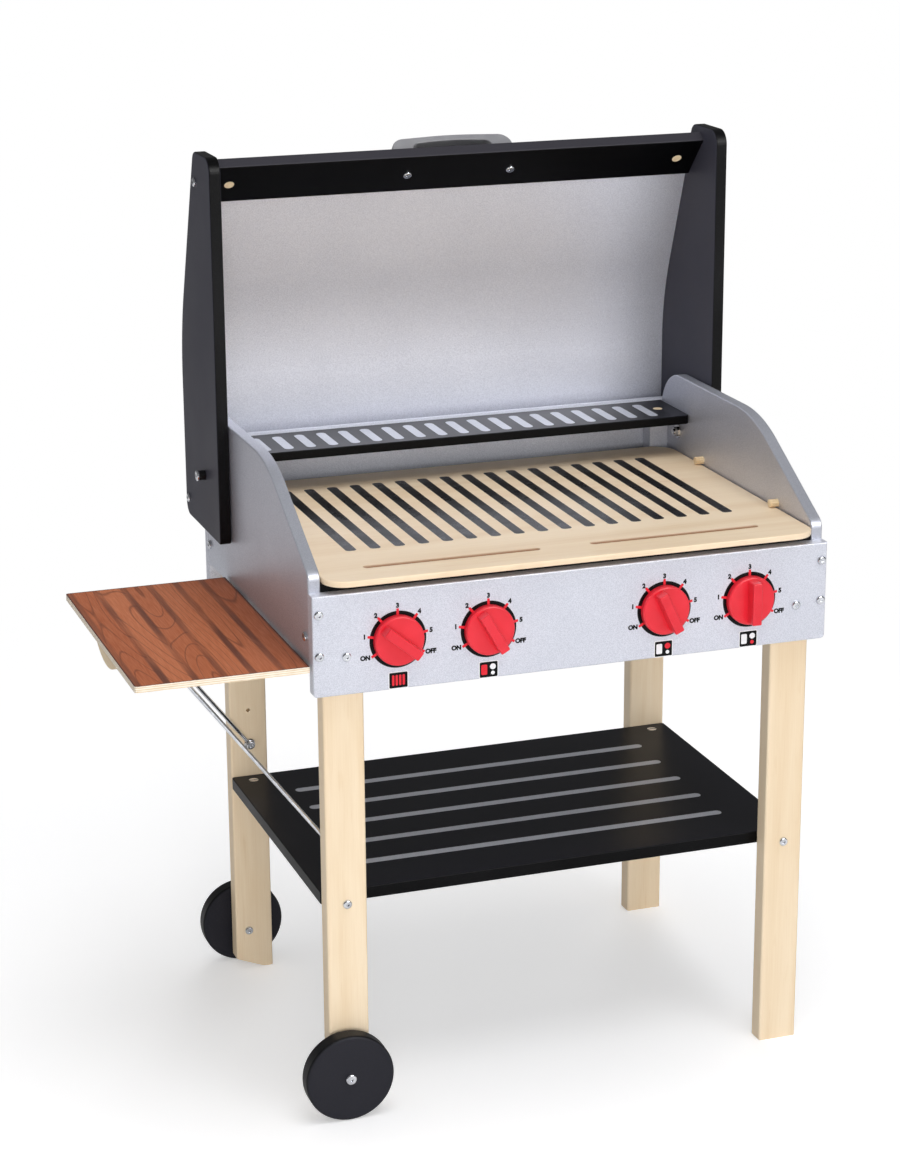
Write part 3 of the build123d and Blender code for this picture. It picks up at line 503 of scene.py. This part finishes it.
@dataclass(frozen=True)
class PlankPrint:
    """Thin plywood with a dark plank pattern printed on its upper face."""

    name: str
    low: Point3
    high: Point3
    plank_mm: float = 27.0
    border_mm: float = 1.6
    border_blur: float = 0.7
    layer_mm: float = 2.0
    rings: float = 13.0
    line_strength: float = 0.55
    light: Colour = (208, 126, 86)
    mid: Colour = (176, 96, 60)
    joint: Colour = (112, 66, 50)
    line: Colour = (84, 42, 30)
    border: Colour = (96, 52, 40)
    ply_pale: Colour = (252, 242, 224)
    ply_dark: Colour = (222, 194, 156)

    def build(self) -> bpy.types.Material:
        """Planks with thin grain lines above, and pale layers on the edges and below."""
        graph = Graph(self.name)
        fibres = graph.noise(700.0, (1.0, 0.05, 1.0), 2.0)
        board = self._planks(graph, fibres)
        rim = graph.math("MINIMUM", self._inset(graph, "X", 0), self._inset(graph, "Y", 1))
        outer, inner = self.border_mm * MM, self.border_blur * self.border_mm * MM
        board = graph.blend(graph.spread(rim, outer, inner), board, self.border)
        turn = 2 * math.pi / (self.layer_mm * MM)
        layers = graph.math("SINE", graph.math("MULTIPLY", graph.along("Z"), turn))
        edge_grain = graph.noise(420.0, (0.25, 0.25, 1.0), 2.0)
        share = graph.math("ADD", graph.spread(layers, -0.1, 0.6, 0.0, 0.7),
                           graph.spread(edge_grain, *NOISE_SPAN, -0.15, 0.25))
        ply = graph.blend(graph.spread(share, 0.0, 1.0), self.ply_pale, self.ply_dark)
        under = graph.blend(graph.spread(fibres, *NOISE_SPAN, 0.0, 0.45), self.ply_pale, self.ply_dark)
        facing = graph.facing(Z_AXIS)
        sides = graph.blend(graph.spread(facing, -0.6, -0.8), ply, under)
        colour = graph.blend(graph.spread(facing, 0.70, 0.80), sides, board)
        graph.bump(fibres, 0.03)
        return graph.finish(colour, graph.spread(fibres, *NOISE_SPAN, 0.36, 0.48), specular=0.45)

    def _inset(self, graph: Graph, axis: str, index: int) -> Socket:
        """How far a point lies inside the board's nearer edge along an axis.

        Args:
            graph: The material's graph.
            axis: X or Y.
            index: The axis as a number.

        Returns:
            The distance in metres.
        """
        place = graph.along(axis)
        near = graph.math("SUBTRACT", place, self.low[index])
        far = graph.math("SUBTRACT", self.high[index], place)
        return graph.math("MINIMUM", near, far)

    def _planks(self, graph: Graph, fibres: Socket) -> Socket:
        """The printed planks: a tone for each, darker strips between, and thin grain lines.

        Args:
            graph: The material's graph.
            fibres: Fine noise along the grain.

        Returns:
            The printed colour.
        """
        across = graph.math("DIVIDE", graph.along("X"), self.plank_mm * MM)
        number = graph.math("FLOOR", across)
        part = graph.math("FRACT", across)
        white = graph.node("ShaderNodeTexWhiteNoise", {"noise_dimensions": "1D"}, {"W": number})
        pick = white.outputs["Value"]
        shifted = graph.node("ShaderNodeCombineXYZ", {}, {"X": 0.0, "Y": pick, "Z": pick}).outputs[0]
        stretched = graph.stretched((1.0, 0.11, 1.0))
        moved = graph.node("ShaderNodeVectorMath", {"operation": "ADD"}, {0: stretched, 1: shifted})
        inputs = {"Vector": moved.outputs[0], "Scale": 24.0, "Detail": 0.0}
        figure = graph.node("ShaderNodeTexNoise", {}, inputs)
        rings = graph.math("FRACT", graph.math("MULTIPLY", figure.outputs["Fac"], self.rings))
        lines = graph.spread(graph.math("ABSOLUTE", graph.math("SUBTRACT", rings, 0.5)), 0.0, 0.08, 1.0, 0.0)
        tone = graph.math("ADD", graph.spread(pick, 0.0, 1.0, 0.15, 0.85),
                          graph.spread(fibres, *NOISE_SPAN, -0.25, 0.25))
        board = graph.blend(graph.spread(tone, 0.0, 1.0), self.light, self.mid)
        board = graph.blend(graph.math("MULTIPLY", lines, self.line_strength), board, self.line)
        strip = graph.spread(graph.math("ABSOLUTE", graph.math("SUBTRACT", part, 0.5)), 0.34, 0.41)
        fade = graph.spread(graph.noise(26.0, (1.0, 0.25, 1.0), 1.0), 0.35, 0.65, 0.35, 0.95)
        return graph.blend(graph.math("MULTIPLY", strip, fade), board, self.joint)


def bar_outline(centre: Point2, length: float, width: float, angle: float, corner: float) -> List[Point2]:
    """The outline of a straight bar with rounded corners.

    Args:
        centre: The middle of the bar.
        length: Its length along the angle.
        width: Its width across the angle.
        angle: Degrees from the first axis.
        corner: Corner radius.

    Returns:
        Points round the outline.
    """
    turn = math.radians(angle)
    points: List[Point2] = []
    for quarter, (side, end) in enumerate(((1, 1), (-1, 1), (-1, -1), (1, -1))):
        middle = (side * (length / 2 - corner), end * (width / 2 - corner))
        for step in range(CORNER_STEPS + 1):
            swing = math.radians(90 * quarter + 90 / CORNER_STEPS * step)
            u = middle[0] + corner * math.cos(swing)
            v = middle[1] + corner * math.sin(swing)
            points.append((centre[0] + u * math.cos(turn) - v * math.sin(turn),
                           centre[1] + u * math.sin(turn) + v * math.cos(turn)))
    return points


def disc_outline(centre: Point2, radius: float, steps: int = 40) -> List[Point2]:
    """The outline of a disc.

    Args:
        centre: The middle of the disc.
        radius: Its radius.
        steps: Points round it.

    Returns:
        Points round the outline.
    """
    turns = [2 * math.pi * step / steps for step in range(steps)]
    return [(centre[0] + radius * math.cos(t), centre[1] + radius * math.sin(t)) for t in turns]


class PrintSheet:
    """Flat printed shapes on one plane, joined in one piece."""

    def __init__(self, plane: Matrix) -> None:
        """Start an empty sheet.

        Args:
            plane: Takes flat millimetres, with the third axis out of the surface, into the frame.
        """
        self.plane = plane
        self.mesh = bmesh.new()

    def _point(self, u: float, v: float, w: float) -> Vector:
        """Take a flat point into the frame.

        Args:
            u: Millimetres along the first axis.
            v: Millimetres along the second axis.
            w: Millimetres out of the surface.

        Returns:
            The point in metres.
        """
        return self.plane @ Vector((u * MM, v * MM, w * MM))

    def shape(self, outline: Sequence[Point2], high: float, low: float = 0.0) -> None:
        """Add a filled shape.

        Args:
            outline: Points round the shape, anticlockwise.
            high: Height of its face above the surface.
            low: Height where its sides start.
        """
        top = [self.mesh.verts.new(self._point(u, v, high)) for u, v in outline]
        foot = [self.mesh.verts.new(self._point(u, v, low)) for u, v in outline]
        self.mesh.faces.new(top)
        self.mesh.faces.new(list(reversed(foot)))
        count = len(outline)
        for step in range(count):
            after = (step + 1) % count
            self.mesh.faces.new((foot[step], foot[after], top[after], top[step]))

    def ring(self, centre: Point2, inner: float, outer: float, high: float, steps: int = 96) -> None:
        """Add a flat ring.

        Args:
            centre: The middle of the ring.
            inner: Inner radius.
            outer: Outer radius.
            high: Height of its face above the surface.
            steps: Points round it.
        """
        loops = []
        for radius, height in ((inner, 0.0), (inner, high), (outer, high), (outer, 0.0)):
            points = disc_outline(centre, radius, steps)
            loops.append([self.mesh.verts.new(self._point(u, v, height)) for u, v in points])
        for number in range(4):
            one, two = loops[number], loops[(number + 1) % 4]
            for step in range(steps):
                after = (step + 1) % steps
                self.mesh.faces.new((one[step], two[step], two[after], one[after]))

    def words(self, text: str, centre: Point2, height: float, high: float, weight: float = 0.065) -> None:
        """Add plain bold characters.

        Args:
            text: What they say.
            centre: The middle of the text.
            height: Height of its tallest character.
            high: Height of its face above the surface.
            weight: How far the strokes are thickened, as a share of the size.
        """
        half_depth = 0.5
        curve = bpy.data.curves.new("characters", "FONT")
        curve.body = text
        curve.offset = weight
        curve.resolution_u = 4
        curve.extrude = half_depth
        carrier = bpy.data.objects.new("characters", curve)
        bpy.context.scene.collection.objects.link(carrier)
        bpy.context.view_layer.update()
        flat = bpy.data.meshes.new_from_object(carrier)
        bpy.data.objects.remove(carrier)
        xs = [vertex.co.x for vertex in flat.vertices]
        ys = [vertex.co.y for vertex in flat.vertices]
        scale = height / (max(ys) - min(ys))
        middle = ((max(xs) + min(xs)) / 2, (max(ys) + min(ys)) / 2)
        for vertex in flat.vertices:
            u = centre[0] + (vertex.co.x - middle[0]) * scale
            v = centre[1] + (vertex.co.y - middle[1]) * scale
            vertex.co = self._point(u, v, high * (vertex.co.z + half_depth))
        self.mesh.from_mesh(flat)
        bpy.data.meshes.remove(flat)

    def piece(self, name: str, material: bpy.types.Material, body: str, slot: str) -> None:
        """Make the sheet an object that rides on a body.

        Args:
            name: The piece's name.
            material: Its finish.
            body: The CAD body that it rides on.
            slot: The record's material slot; not used.
        """
        bmesh.ops.recalc_face_normals(self.mesh, faces=self.mesh.faces)
        data = bpy.data.meshes.new(name)
        self.mesh.to_mesh(data)
        self.mesh.free()
        data.materials.append(material)
        made = bpy.data.objects.new(name, data)
        bpy.context.scene.collection.objects.link(made)
        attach(made, body)
        LOG.info("%s rides on %s, %d faces", name, body, len(data.polygons))


def facing_plane(origin: Vector, across: Vector, up: Vector) -> Matrix:
    """Place a plane in the frame.

    Args:
        origin: The plane's origin.
        across: Its first axis.
        up: Its second axis.

    Returns:
        The plane's matrix, with its third axis square to the other two.
    """
    out = across.cross(up)
    columns = Matrix((across, up, out)).transposed().to_4x4()
    return Matrix.Translation(origin) @ columns


def dress(finish: bpy.types.Material, nodes: Sequence[str]) -> None:
    """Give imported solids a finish.

    Args:
        finish: The material.
        nodes: The names of the solids.
    """
    for name in nodes:
        data = frame["nodes"][name].data
        data.materials.clear()
        data.materials.append(finish)
        LOG.info("%s has the finish %s", name, finish.name)


@dataclass
class Paints:
    """The finishes that more than one sub-assembly shares."""

    birch: bpy.types.Material = field(default_factory=LacqueredWood(
        "birch", (246, 226, 196), (230, 202, 163), Grain.ALONG_Z).build)
    turned_birch: bpy.types.Material = field(default_factory=LacqueredWood(
        "turned_birch", (248, 228, 192), (222, 188, 140), Grain.ALONG_Y, 60.0).build)
    silver: bpy.types.Material = field(default_factory=FlakePaint(
        "silver_panel_paint", (230, 232, 242), (196, 199, 210)).build)
    # The side panels' edges get painted shade.
    silver_side: bpy.types.Material = field(default_factory=FlakePaint(
        "silver_side_paint", (224, 226, 236), (190, 193, 204), metallic=0.6, edge_shade_share=0.35).build)
    black: bpy.types.Material = field(default_factory=BoardPaint(
        "black_board_paint", (28, 28, 34), (4, 4, 5), Z_AXIS, 0.34, 0.34, specular=0.1, dust=0.03).build)
    black_ink: bpy.types.Material = field(default_factory=PrintInk(
        "black_ink", (7, 7, 8), (15, 15, 17), 0.3, specular=0.15).build)
    silver_ink: bpy.types.Material = field(default_factory=PrintInk(
        "silver_ink", (206, 209, 218), (182, 185, 194), 0.38, 0.2).build)
    zinc: bpy.types.Material = field(default_factory=BareMetal(
        "zinc_plate", (240, 242, 246), (196, 198, 204), 0.13).build)
    black_plastic: bpy.types.Material = field(default_factory=MouldedPlastic(
        "black_plastic", (12, 12, 13), (20, 20, 22), 0.35).build)


@dataclass
class Stand:
    """Legs, panels, shelves and their fasteners."""

    paints: Paints
    warming_bars: int = 19
    warming_pitch: float = 23.56
    warming_width: float = 10.0
    warming_front: float = 10.0
    warming_back: float = 13.0
    lower_stripes: int = 5
    lower_pitch: float = 51.9
    lower_width: float = 10.0
    lower_length: float = 391.5
    lower_shift: float = 0.7
    roundness: float = 0.48
    print_height: float = 0.12
    mark_heights: Tuple[float, ...] = (58.0, 17.0)
    mark_inset: float = 13.0
    mark_inner: float = 2.6
    mark_outer: float = 3.1
    mark_height: float = 0.06
    mark_steps: int = 32

    def build(self) -> None:
        """Dress every solid of the stand and print the shelves."""
        dress(self.paints.birch, ("leg_front_left", "leg_front_right", "leg_rear_left", "leg_rear_right"))
        dress(self.paints.turned_birch, ("plate_pegs", "warming_shelf_plugs"))
        dress(self.paints.silver, ("front_panel", "back_panel", "corner_post_left", "corner_post_right"))
        dress(self.paints.silver_side, ("side_panel_left", "side_panel_right"))
        dress(self.paints.black, ("lower_shelf", "hob_board", "warming_shelf"))
        dress(self.paints.zinc, ("barrel_nuts", "leg_bolts", "panel_screws", "side_screws", "back_screws",
                                 "axle_bolts", "axle_nuts", "warming_shelf_nuts", "warming_shelf_bolts",
                                 "lid_hinge_bolts", "lid_hinge_washers", "lid_hinge_nuts", "stay_screws",
                                 "shelf_hinge_fixed_leaves", "shelf_hinge_pins"))
        dress(self.paints.black_plastic, ("lid_hinge_bushings", "wheel_spacers"))
        self.print_warming_shelf()
        self.print_lower_shelf()
        self.mark_side_panels()

    def _top(self, node: str) -> Tuple[Matrix, Vector]:
        """The upper face of a board.

        Args:
            node: The board's name.

        Returns:
            A plane with its origin in the middle of the face, and the board's size.
        """
        low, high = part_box(node)
        origin = Vector(((low.x + high.x) / 2, (low.y + high.y) / 2, high.z))
        return facing_plane(origin, Vector((1, 0, 0)), Vector((0, 1, 0))), high - low

    def print_warming_shelf(self) -> None:
        """Print the row of silver bars on the warming shelf."""
        plane, size = self._top("warming_shelf")
        sheet = PrintSheet(plane)
        length = size.y / MM - self.warming_front - self.warming_back
        shift = (self.warming_front - self.warming_back) / 2
        for number in range(self.warming_bars):
            u = (number - (self.warming_bars - 1) / 2) * self.warming_pitch
            corner = self.warming_width * self.roundness
            outline = bar_outline((u, shift), length, self.warming_width, 90, corner)
            sheet.shape(outline, self.print_height)
        sheet.piece("warming_shelf_bars", self.paints.silver_ink, "stand", "silver_paint")

    def print_lower_shelf(self) -> None:
        """Print the silver stripes on the lower shelf."""
        plane, _ = self._top("lower_shelf")
        sheet = PrintSheet(plane)
        for number in range(self.lower_stripes):
            v = (number - (self.lower_stripes - 1) / 2) * self.lower_pitch
            corner = self.lower_width * self.roundness
            outline = bar_outline((self.lower_shift, v), self.lower_length, self.lower_width, 0, corner)
            sheet.shape(outline, self.print_height)
        sheet.piece("lower_shelf_stripes", self.paints.silver_ink, "stand", "silver_paint")

    def mark_side_panels(self) -> None:
        """Show the filled dowel ends on the outer faces of the side panels."""
        for side, node in ((-1, "side_panel_left"), (1, "side_panel_right")):
            low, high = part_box(node)
            face = low.x if side < 0 else high.x
            across = Vector((0, float(side), 0))
            plane = facing_plane(Vector((face, low.y, low.z)), across, Vector((0, 0, 1)))
            sheet = PrintSheet(plane)
            for height in self.mark_heights:
                sheet.ring((side * self.mark_inset, height), self.mark_inner, self.mark_outer,
                           self.mark_height, self.mark_steps)
            sheet.piece(f"dowel_marks_{'left' if side < 0 else 'right'}", self.paints.silver_ink, "stand",
                        "silver_paint")


@dataclass
class DialPanel:
    """The four red dials and the print round them."""

    paints: Paints
    ring_inner: float = 21.0
    ring_outer: float = 27.6
    tick_inner: float = 21.5
    tick_outer: float = 29.9
    tick_width: float = 2.5
    tick_corner: float = 0.7
    digit_height: float = 5.0
    digit_reach: float = 32.9
    word_reach: float = 35.3
    on_lean: float = 205.0
    off_lean: float = -25.0
    icon_drop: float = 39.8
    icon_width: float = 17.8
    icon_height: float = 15.0
    icon_margin: float = 1.6
    icon_corner: float = 1.0
    bar_pitch: float = 3.4
    bar_length: float = 10.4
    bar_width: float = 2.3
    bar_corner: float = 1.1
    patch_across: float = -4.4
    patch_length: float = 10.0
    patch_width: float = 6.0
    patch_corner: float = 1.2
    ring_across: float = 4.2
    upper_ring_up: float = 2.5
    upper_ring_radius: float = 2.9
    lower_ring_up: float = -3.7
    lower_ring_radius: float = 1.9
    layer: float = 0.06
    ticks: Tuple[Tuple[str, float], ...] = (("ON", 210.0), ("1", 170.0), ("2", 130.0), ("3", 90.0),
                                            ("4", 50.0), ("5", 10.0), ("OFF", -30.0))
    icons: Tuple[Burner, ...] = (Burner.BARS, Burner.LEFT, Burner.TOP_RING, Burner.LOW_RING)

    def build(self) -> None:
        """Dress the dials and print their scales."""
        red = MouldedPlastic("dial_red", (234, 42, 58), (226, 34, 50), 0.32)
        dress(red.build(), [f"knob_{number}" for number in (1, 2, 3, 4)])
        dress(self.paints.zinc, [f"knob_screw_{number}" for number in (1, 2, 3, 4)])
        inks = {
            "black": self.paints.black_ink,
            "red": PrintInk("red_ink", (235, 40, 56), (226, 34, 50)).build(),
            "white": PrintInk("white_ink", (246, 246, 248), (238, 238, 241)).build(),
        }
        slots = {"black": "black_paint", "red": "red_plastic", "white": "silver_paint"}
        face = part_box("front_panel")[0].y
        places = {joint["name"]: joint["pos_m"] for joint in frame["joints"] if "pos_m" in joint}
        for number, icon in enumerate(self.icons, start=1):
            x, _, z = places[f"knob_{number}_turn"]
            plane = facing_plane(Vector((x, face, z)), Vector((1, 0, 0)), Vector((0, 0, 1)))
            sheets = {ink: PrintSheet(plane) for ink in inks}
            self.print_scale(sheets)
            self.print_icon(sheets, icon)
            for ink, sheet in sheets.items():
                sheet.piece(f"dial_{number}_{ink}_print", inks[ink], "stand", slots[ink])

    def print_scale(self, sheets: Dict[str, PrintSheet]) -> None:
        """Print the black ring, the red ticks and the numbers of one dial.

        Args:
            sheets: The sheet for each ink.
        """
        sheets["black"].ring((0, 0), self.ring_inner, self.ring_outer, 2 * self.layer)
        for text, angle in self.ticks:
            turn = math.radians(angle)
            middle = (self.tick_inner + self.tick_outer) / 2
            centre = (middle * math.cos(turn), middle * math.sin(turn))
            length = self.tick_outer - self.tick_inner
            outline = bar_outline(centre, length, self.tick_width, angle, self.tick_corner)
            sheets["red"].shape(outline, 3 * self.layer)
            reach = self.digit_reach
            lean = angle
            if len(text) > 1:
                reach = self.word_reach
                lean = self.on_lean if text == "ON" else self.off_lean
            at = (reach * math.cos(math.radians(lean)), reach * math.sin(math.radians(lean)))
            sheets["black"].words(text, at, self.digit_height, 2 * self.layer)

    def print_icon(self, sheets: Dict[str, PrintSheet], icon: Burner) -> None:
        """Print the small map under one dial.

        Args:
            sheets: The sheet for each ink.
            icon: Which map.
        """
        v = -self.icon_drop
        wide, tall, margin = self.icon_width, self.icon_height, self.icon_margin
        sheets["white"].shape(bar_outline((0, v), wide + margin, tall + margin, 0, margin), self.layer)
        ground = bar_outline((0, v), wide, tall, 0, self.icon_corner)
        sheets["black"].shape(ground, 2 * self.layer, self.layer)
        top = 3 * self.layer
        if icon is Burner.BARS:
            for step in (-1.5, -0.5, 0.5, 1.5):
                outline = bar_outline((self.bar_pitch * step, v), self.bar_length, self.bar_width, 90,
                                      self.bar_corner)
                sheets["red"].shape(outline, top, self.layer)
            return
        panel = "red" if icon is Burner.LEFT else "white"
        upper = "red" if icon is Burner.TOP_RING else "white"
        lower = "red" if icon is Burner.LOW_RING else "white"
        outline = bar_outline((self.patch_across, v), self.patch_length, self.patch_width, 90,
                              self.patch_corner)
        sheets[panel].shape(outline, top, self.layer)
        upper_centre = (self.ring_across, v + self.upper_ring_up)
        sheets[upper].shape(disc_outline(upper_centre, self.upper_ring_radius), top, self.layer)
        lower_centre = (self.ring_across, v + self.lower_ring_up)
        sheets[lower].shape(disc_outline(lower_centre, self.lower_ring_radius), top, self.layer)


@dataclass
class GrillPlate:
    """The loose plate with its black bars."""

    paints: Paints
    stripes: int = 17
    pitch: float = 24.3
    width: float = 10.6
    start: float = 95.0
    length: float = 228.0
    corner: float = 3.6
    groove_from_front: float = 40.0
    print_height: float = 0.1

    def build(self) -> None:
        """Dress the plate and print its bars."""
        low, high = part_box("grill_plate")
        maple = GroovedMaple("maple", (248, 227, 197), (228, 197, 158), Grain.ALONG_X, 18.0, 0.5,
                             high.z, low.y + self.groove_from_front * MM)
        dress(maple.build(), ("grill_plate",))
        origin = Vector(((low.x + high.x) / 2, low.y, high.z))
        sheet = PrintSheet(facing_plane(origin, Vector((1, 0, 0)), Vector((0, 1, 0))))
        for number in range(self.stripes):
            u = (number - (self.stripes - 1) / 2) * self.pitch
            centre = (u, self.start + self.length / 2)
            sheet.shape(bar_outline(centre, self.length, self.width, 90, self.corner), self.print_height)
        sheet.piece("grill_plate_bars", self.paints.black_ink, "grill_plate", "black_paint")


@dataclass
class Lid:
    """Cheeks, header, curved shell, rail and handle."""

    paints: Paints
    header_out: Direction = (0.0, 0.7266, 0.6871)

    def build(self) -> None:
        """Dress the lid's solids."""
        charcoal = BoardPaint("charcoal_cheek_paint", (64, 64, 75), (3, 3, 4), X_AXIS, 0.5, 0.4, specular=0.2)
        dress(charcoal.build(), ("lid_cheek_left", "lid_cheek_right"))
        # Painted highlight: the header's edges are a light grey against its near-black faces, for light
        # caught on their rounding.
        header_lit_edge_paint = BoardPaint("lid_header_lit_edge_paint", (2, 2, 3), (56, 55, 61), self.header_out, 0.34, 0.34,
                           specular=0.1, dust=0.01)
        dress(header_lit_edge_paint.build(), ("lid_header",))
        plain = BoardPaint("lid_black_paint", (20, 20, 23), (26, 26, 30), X_AXIS, 0.46, 0.46,
                           specular=0.1, dust=0.08)
        dress(plain.build(), ("lid_rail", "lid_skin"))
        liner = FlakePaint("lid_liner_silver", (242, 244, 254), (212, 214, 225), 1150.0, 0.6, 0.44)
        dress(liner.build(), ("lid_liner",))
        grey = MouldedPlastic("handle_grey", (150, 150, 154), (136, 136, 141), 0.36)
        dress(grey.build(), ("lid_handle",))
        dress(self.paints.turned_birch, ("lid_header_plugs",))
        dress(self.paints.zinc, ("lid_screws", "handle_screws", "lid_header_nuts"))


@dataclass
class SideShelf:
    """The drop-down shelf, its finger block and its wire stay."""

    paints: Paints

    def build(self) -> None:
        """Dress the shelf's solids."""
        low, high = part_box("side_shelf")
        dress(PlankPrint("plank_print", tuple(low), tuple(high)).build(), ("side_shelf",))
        dress(self.paints.turned_birch, ("shelf_grip_block", "stay_cleat"))
        dress(self.paints.zinc, ("shelf_hinge_moving_leaves",))
        chrome = BareMetal("chrome_wire", (244, 246, 250), (206, 208, 214), 0.12)
        dress(chrome.build(), ("wire_stay",))


@dataclass
class Wheels:
    """The two solid wheels."""

    paints: Paints

    def build(self) -> None:
        """Dress the wheels."""
        paint = BoardPaint("wheel_black_paint", (34, 34, 41), (14, 14, 16), Y_AXIS, 0.45, 0.40, specular=0.2)
        dress(paint.build(), ("wheel_front", "wheel_rear"))


@dataclass(frozen=True)
class Lamp:
    """One soft square lamp, which may be left out of plain light or out of reflections."""

    name: str
    place: Point3
    aim: Point3
    size: float
    power: float
    lights: bool = True
    mirrored: bool = True

    def build(self) -> None:
        """Hang the lamp and point it."""
        data = bpy.data.lights.new(self.name, "AREA")
        data.size = self.size
        data.energy = self.power
        made = bpy.data.objects.new(self.name, data)
        made.visible_camera = False
        made.visible_diffuse = self.lights
        made.visible_glossy = self.mirrored
        made.location = self.place
        made.rotation_euler = (Vector(self.aim) - Vector(self.place)).to_track_quat("-Z", "Y").to_euler()
        bpy.context.scene.collection.objects.link(made)


@dataclass
class Studio:
    """Floor, world, lamps and camera."""

    eye: Point3 = (-0.86648, -2.53892, 1.28445)
    yaw: float = 0.3336
    pitch: float = -0.2983
    roll: float = -0.0065
    lens: float = 85.85
    view_end: float = 200.0
    floor_half: float = 40.0
    glow_start: float = 0.55
    glow_end: float = 1.5
    fill: float = 0.32
    reflected: float = 0.16
    floor_lift: float = 0.36
    lamps: Tuple[Lamp, ...] = (
        Lamp("key", (1.0, -3.3, 2.1), (0.0, 0.0, 0.5), 2.2, 16.0),
        Lamp("low_left", (-0.9, -3.4, 0.7), (-0.1, 0.0, 0.3), 1.4, 46.0, mirrored=False),
        Lamp("overhead", (0.1, -0.7, 3.2), (0.0, 0.0, 0.4), 2.2, 44.0, mirrored=False),
        Lamp("glint", (1.4, -3.4, 2.4), (0.0, 0.0, 0.5), 2.2, 96.0, lights=False),
        Lamp("back_fill", (1.2, 3.0, 2.1), (0.0, 0.0, 0.6), 1.8, 28.0, mirrored=False),
    )

    def build(self) -> None:
        """Set the whole studio up."""
        bpy.context.scene.view_settings.view_transform = "Standard"
        self.make_world()
        self.make_floor()
        for lamp in self.lamps:
            lamp.build()
        self.make_camera()

    def make_world(self) -> None:
        """A plain world: white where the camera sees it, dimmer in reflections and as a light."""
        world = bpy.data.worlds.new("studio_world")
        world.use_nodes = True
        bpy.context.scene.world = world
        tree = world.node_tree
        background = tree.nodes["Background"]
        background.inputs["Color"].default_value = (1.0, 1.0, 1.0, 1.0)
        path = tree.nodes.new("ShaderNodeLightPath")
        direct = tree.nodes.new("ShaderNodeMath")
        direct.operation = "MAXIMUM"
        tree.links.new(path.outputs["Is Camera Ray"], direct.inputs[0])
        tree.links.new(path.outputs["Is Transmission Ray"], direct.inputs[1])
        dimmed = tree.nodes.new("ShaderNodeMix")
        tree.links.new(path.outputs["Is Glossy Ray"], dimmed.inputs[0])
        dimmed.inputs[2].default_value = self.fill
        dimmed.inputs[3].default_value = self.reflected
        seen = tree.nodes.new("ShaderNodeMix")
        tree.links.new(direct.outputs[0], seen.inputs[0])
        tree.links.new(dimmed.outputs[0], seen.inputs[2])
        seen.inputs[3].default_value = 1.0
        tree.links.new(seen.outputs[0], background.inputs["Strength"])

    def make_floor(self) -> None:
        """A pale floor that turns plain white away from the object, and is clear from below."""
        sheet = bmesh.new()
        bmesh.ops.create_grid(sheet, x_segments=8, y_segments=8, size=self.floor_half)
        data = bpy.data.meshes.new("floor")
        sheet.to_mesh(data)
        sheet.free()
        graph = Graph("pale_floor")
        grain = graph.noise(90.0, detail=2.0)
        colour = graph.blend(graph.spread(grain, *NOISE_SPAN), (245, 245, 246), (241, 241, 243))
        graph.finish(colour, 0.6, specular=0.2)
        path = graph.node("ShaderNodeLightPath", {}, {})
        lift = graph.math("MULTIPLY", path.outputs["Is Camera Ray"], self.floor_lift)
        graph.tree.links.new(lift, graph.shader.inputs["Emission Strength"])
        glow = graph.node("ShaderNodeEmission", {}, {"Color": (1.0, 1.0, 1.0, 1.0), "Strength": 1.0})
        distance = graph.node("ShaderNodeVectorMath", {"operation": "LENGTH"}, {0: graph.place})
        far = graph.spread(distance.outputs["Value"], self.glow_start, self.glow_end)
        share = graph.math("MULTIPLY", far, path.outputs["Is Camera Ray"])
        layers = {0: share, 1: graph.shader.outputs[0], 2: glow.outputs[0]}
        mixed = graph.node("ShaderNodeMixShader", {}, layers)
        clear = graph.node("ShaderNodeBsdfTransparent", {}, {})
        below = graph.node("ShaderNodeNewGeometry", {}, {}).outputs["Backfacing"]
        sided = graph.node("ShaderNodeMixShader", {}, {0: below, 1: mixed.outputs[0], 2: clear.outputs[0]})
        output = graph.tree.nodes["Material Output"]
        graph.tree.links.new(sided.outputs[0], output.inputs["Surface"])
        data.materials.append(graph.material)
        floor = bpy.data.objects.new("floor", data)
        bpy.context.scene.collection.objects.link(floor)

    def make_camera(self) -> None:
        """The camera at the photograph's viewpoint."""
        ahead = Vector((math.sin(self.yaw) * math.cos(self.pitch), math.cos(self.yaw) * math.cos(self.pitch),
                        math.sin(self.pitch)))
        right = Vector((math.cos(self.yaw), -math.sin(self.yaw), 0.0))
        up = right.cross(ahead)
        tilted = right * math.cos(self.roll) + up * math.sin(self.roll)
        risen = up * math.cos(self.roll) - right * math.sin(self.roll)
        data = bpy.data.cameras.new("photo_camera")
        data.lens = self.lens
        data.clip_end = self.view_end
        made = bpy.data.objects.new("photo_camera", data)
        turned = Matrix((tilted, risen, -ahead)).transposed().to_4x4()
        made.matrix_world = Matrix.Translation(self.eye) @ turned
        bpy.context.scene.collection.objects.link(made)
        bpy.context.scene.camera = made


def main() -> None:
    """Dress the grill and light it."""
    logging.basicConfig(level=logging.INFO, format="%(message)s")
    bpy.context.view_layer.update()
    paints = Paints()
    parts = (Stand(paints), DialPanel(paints), GrillPlate(paints), Lid(paints), SideShelf(paints),
             Wheels(paints), Studio())
    for part in parts:
        LOG.info("building %s", type(part).__name__)
        part.build()


if __name__ == "__main__":
    main()
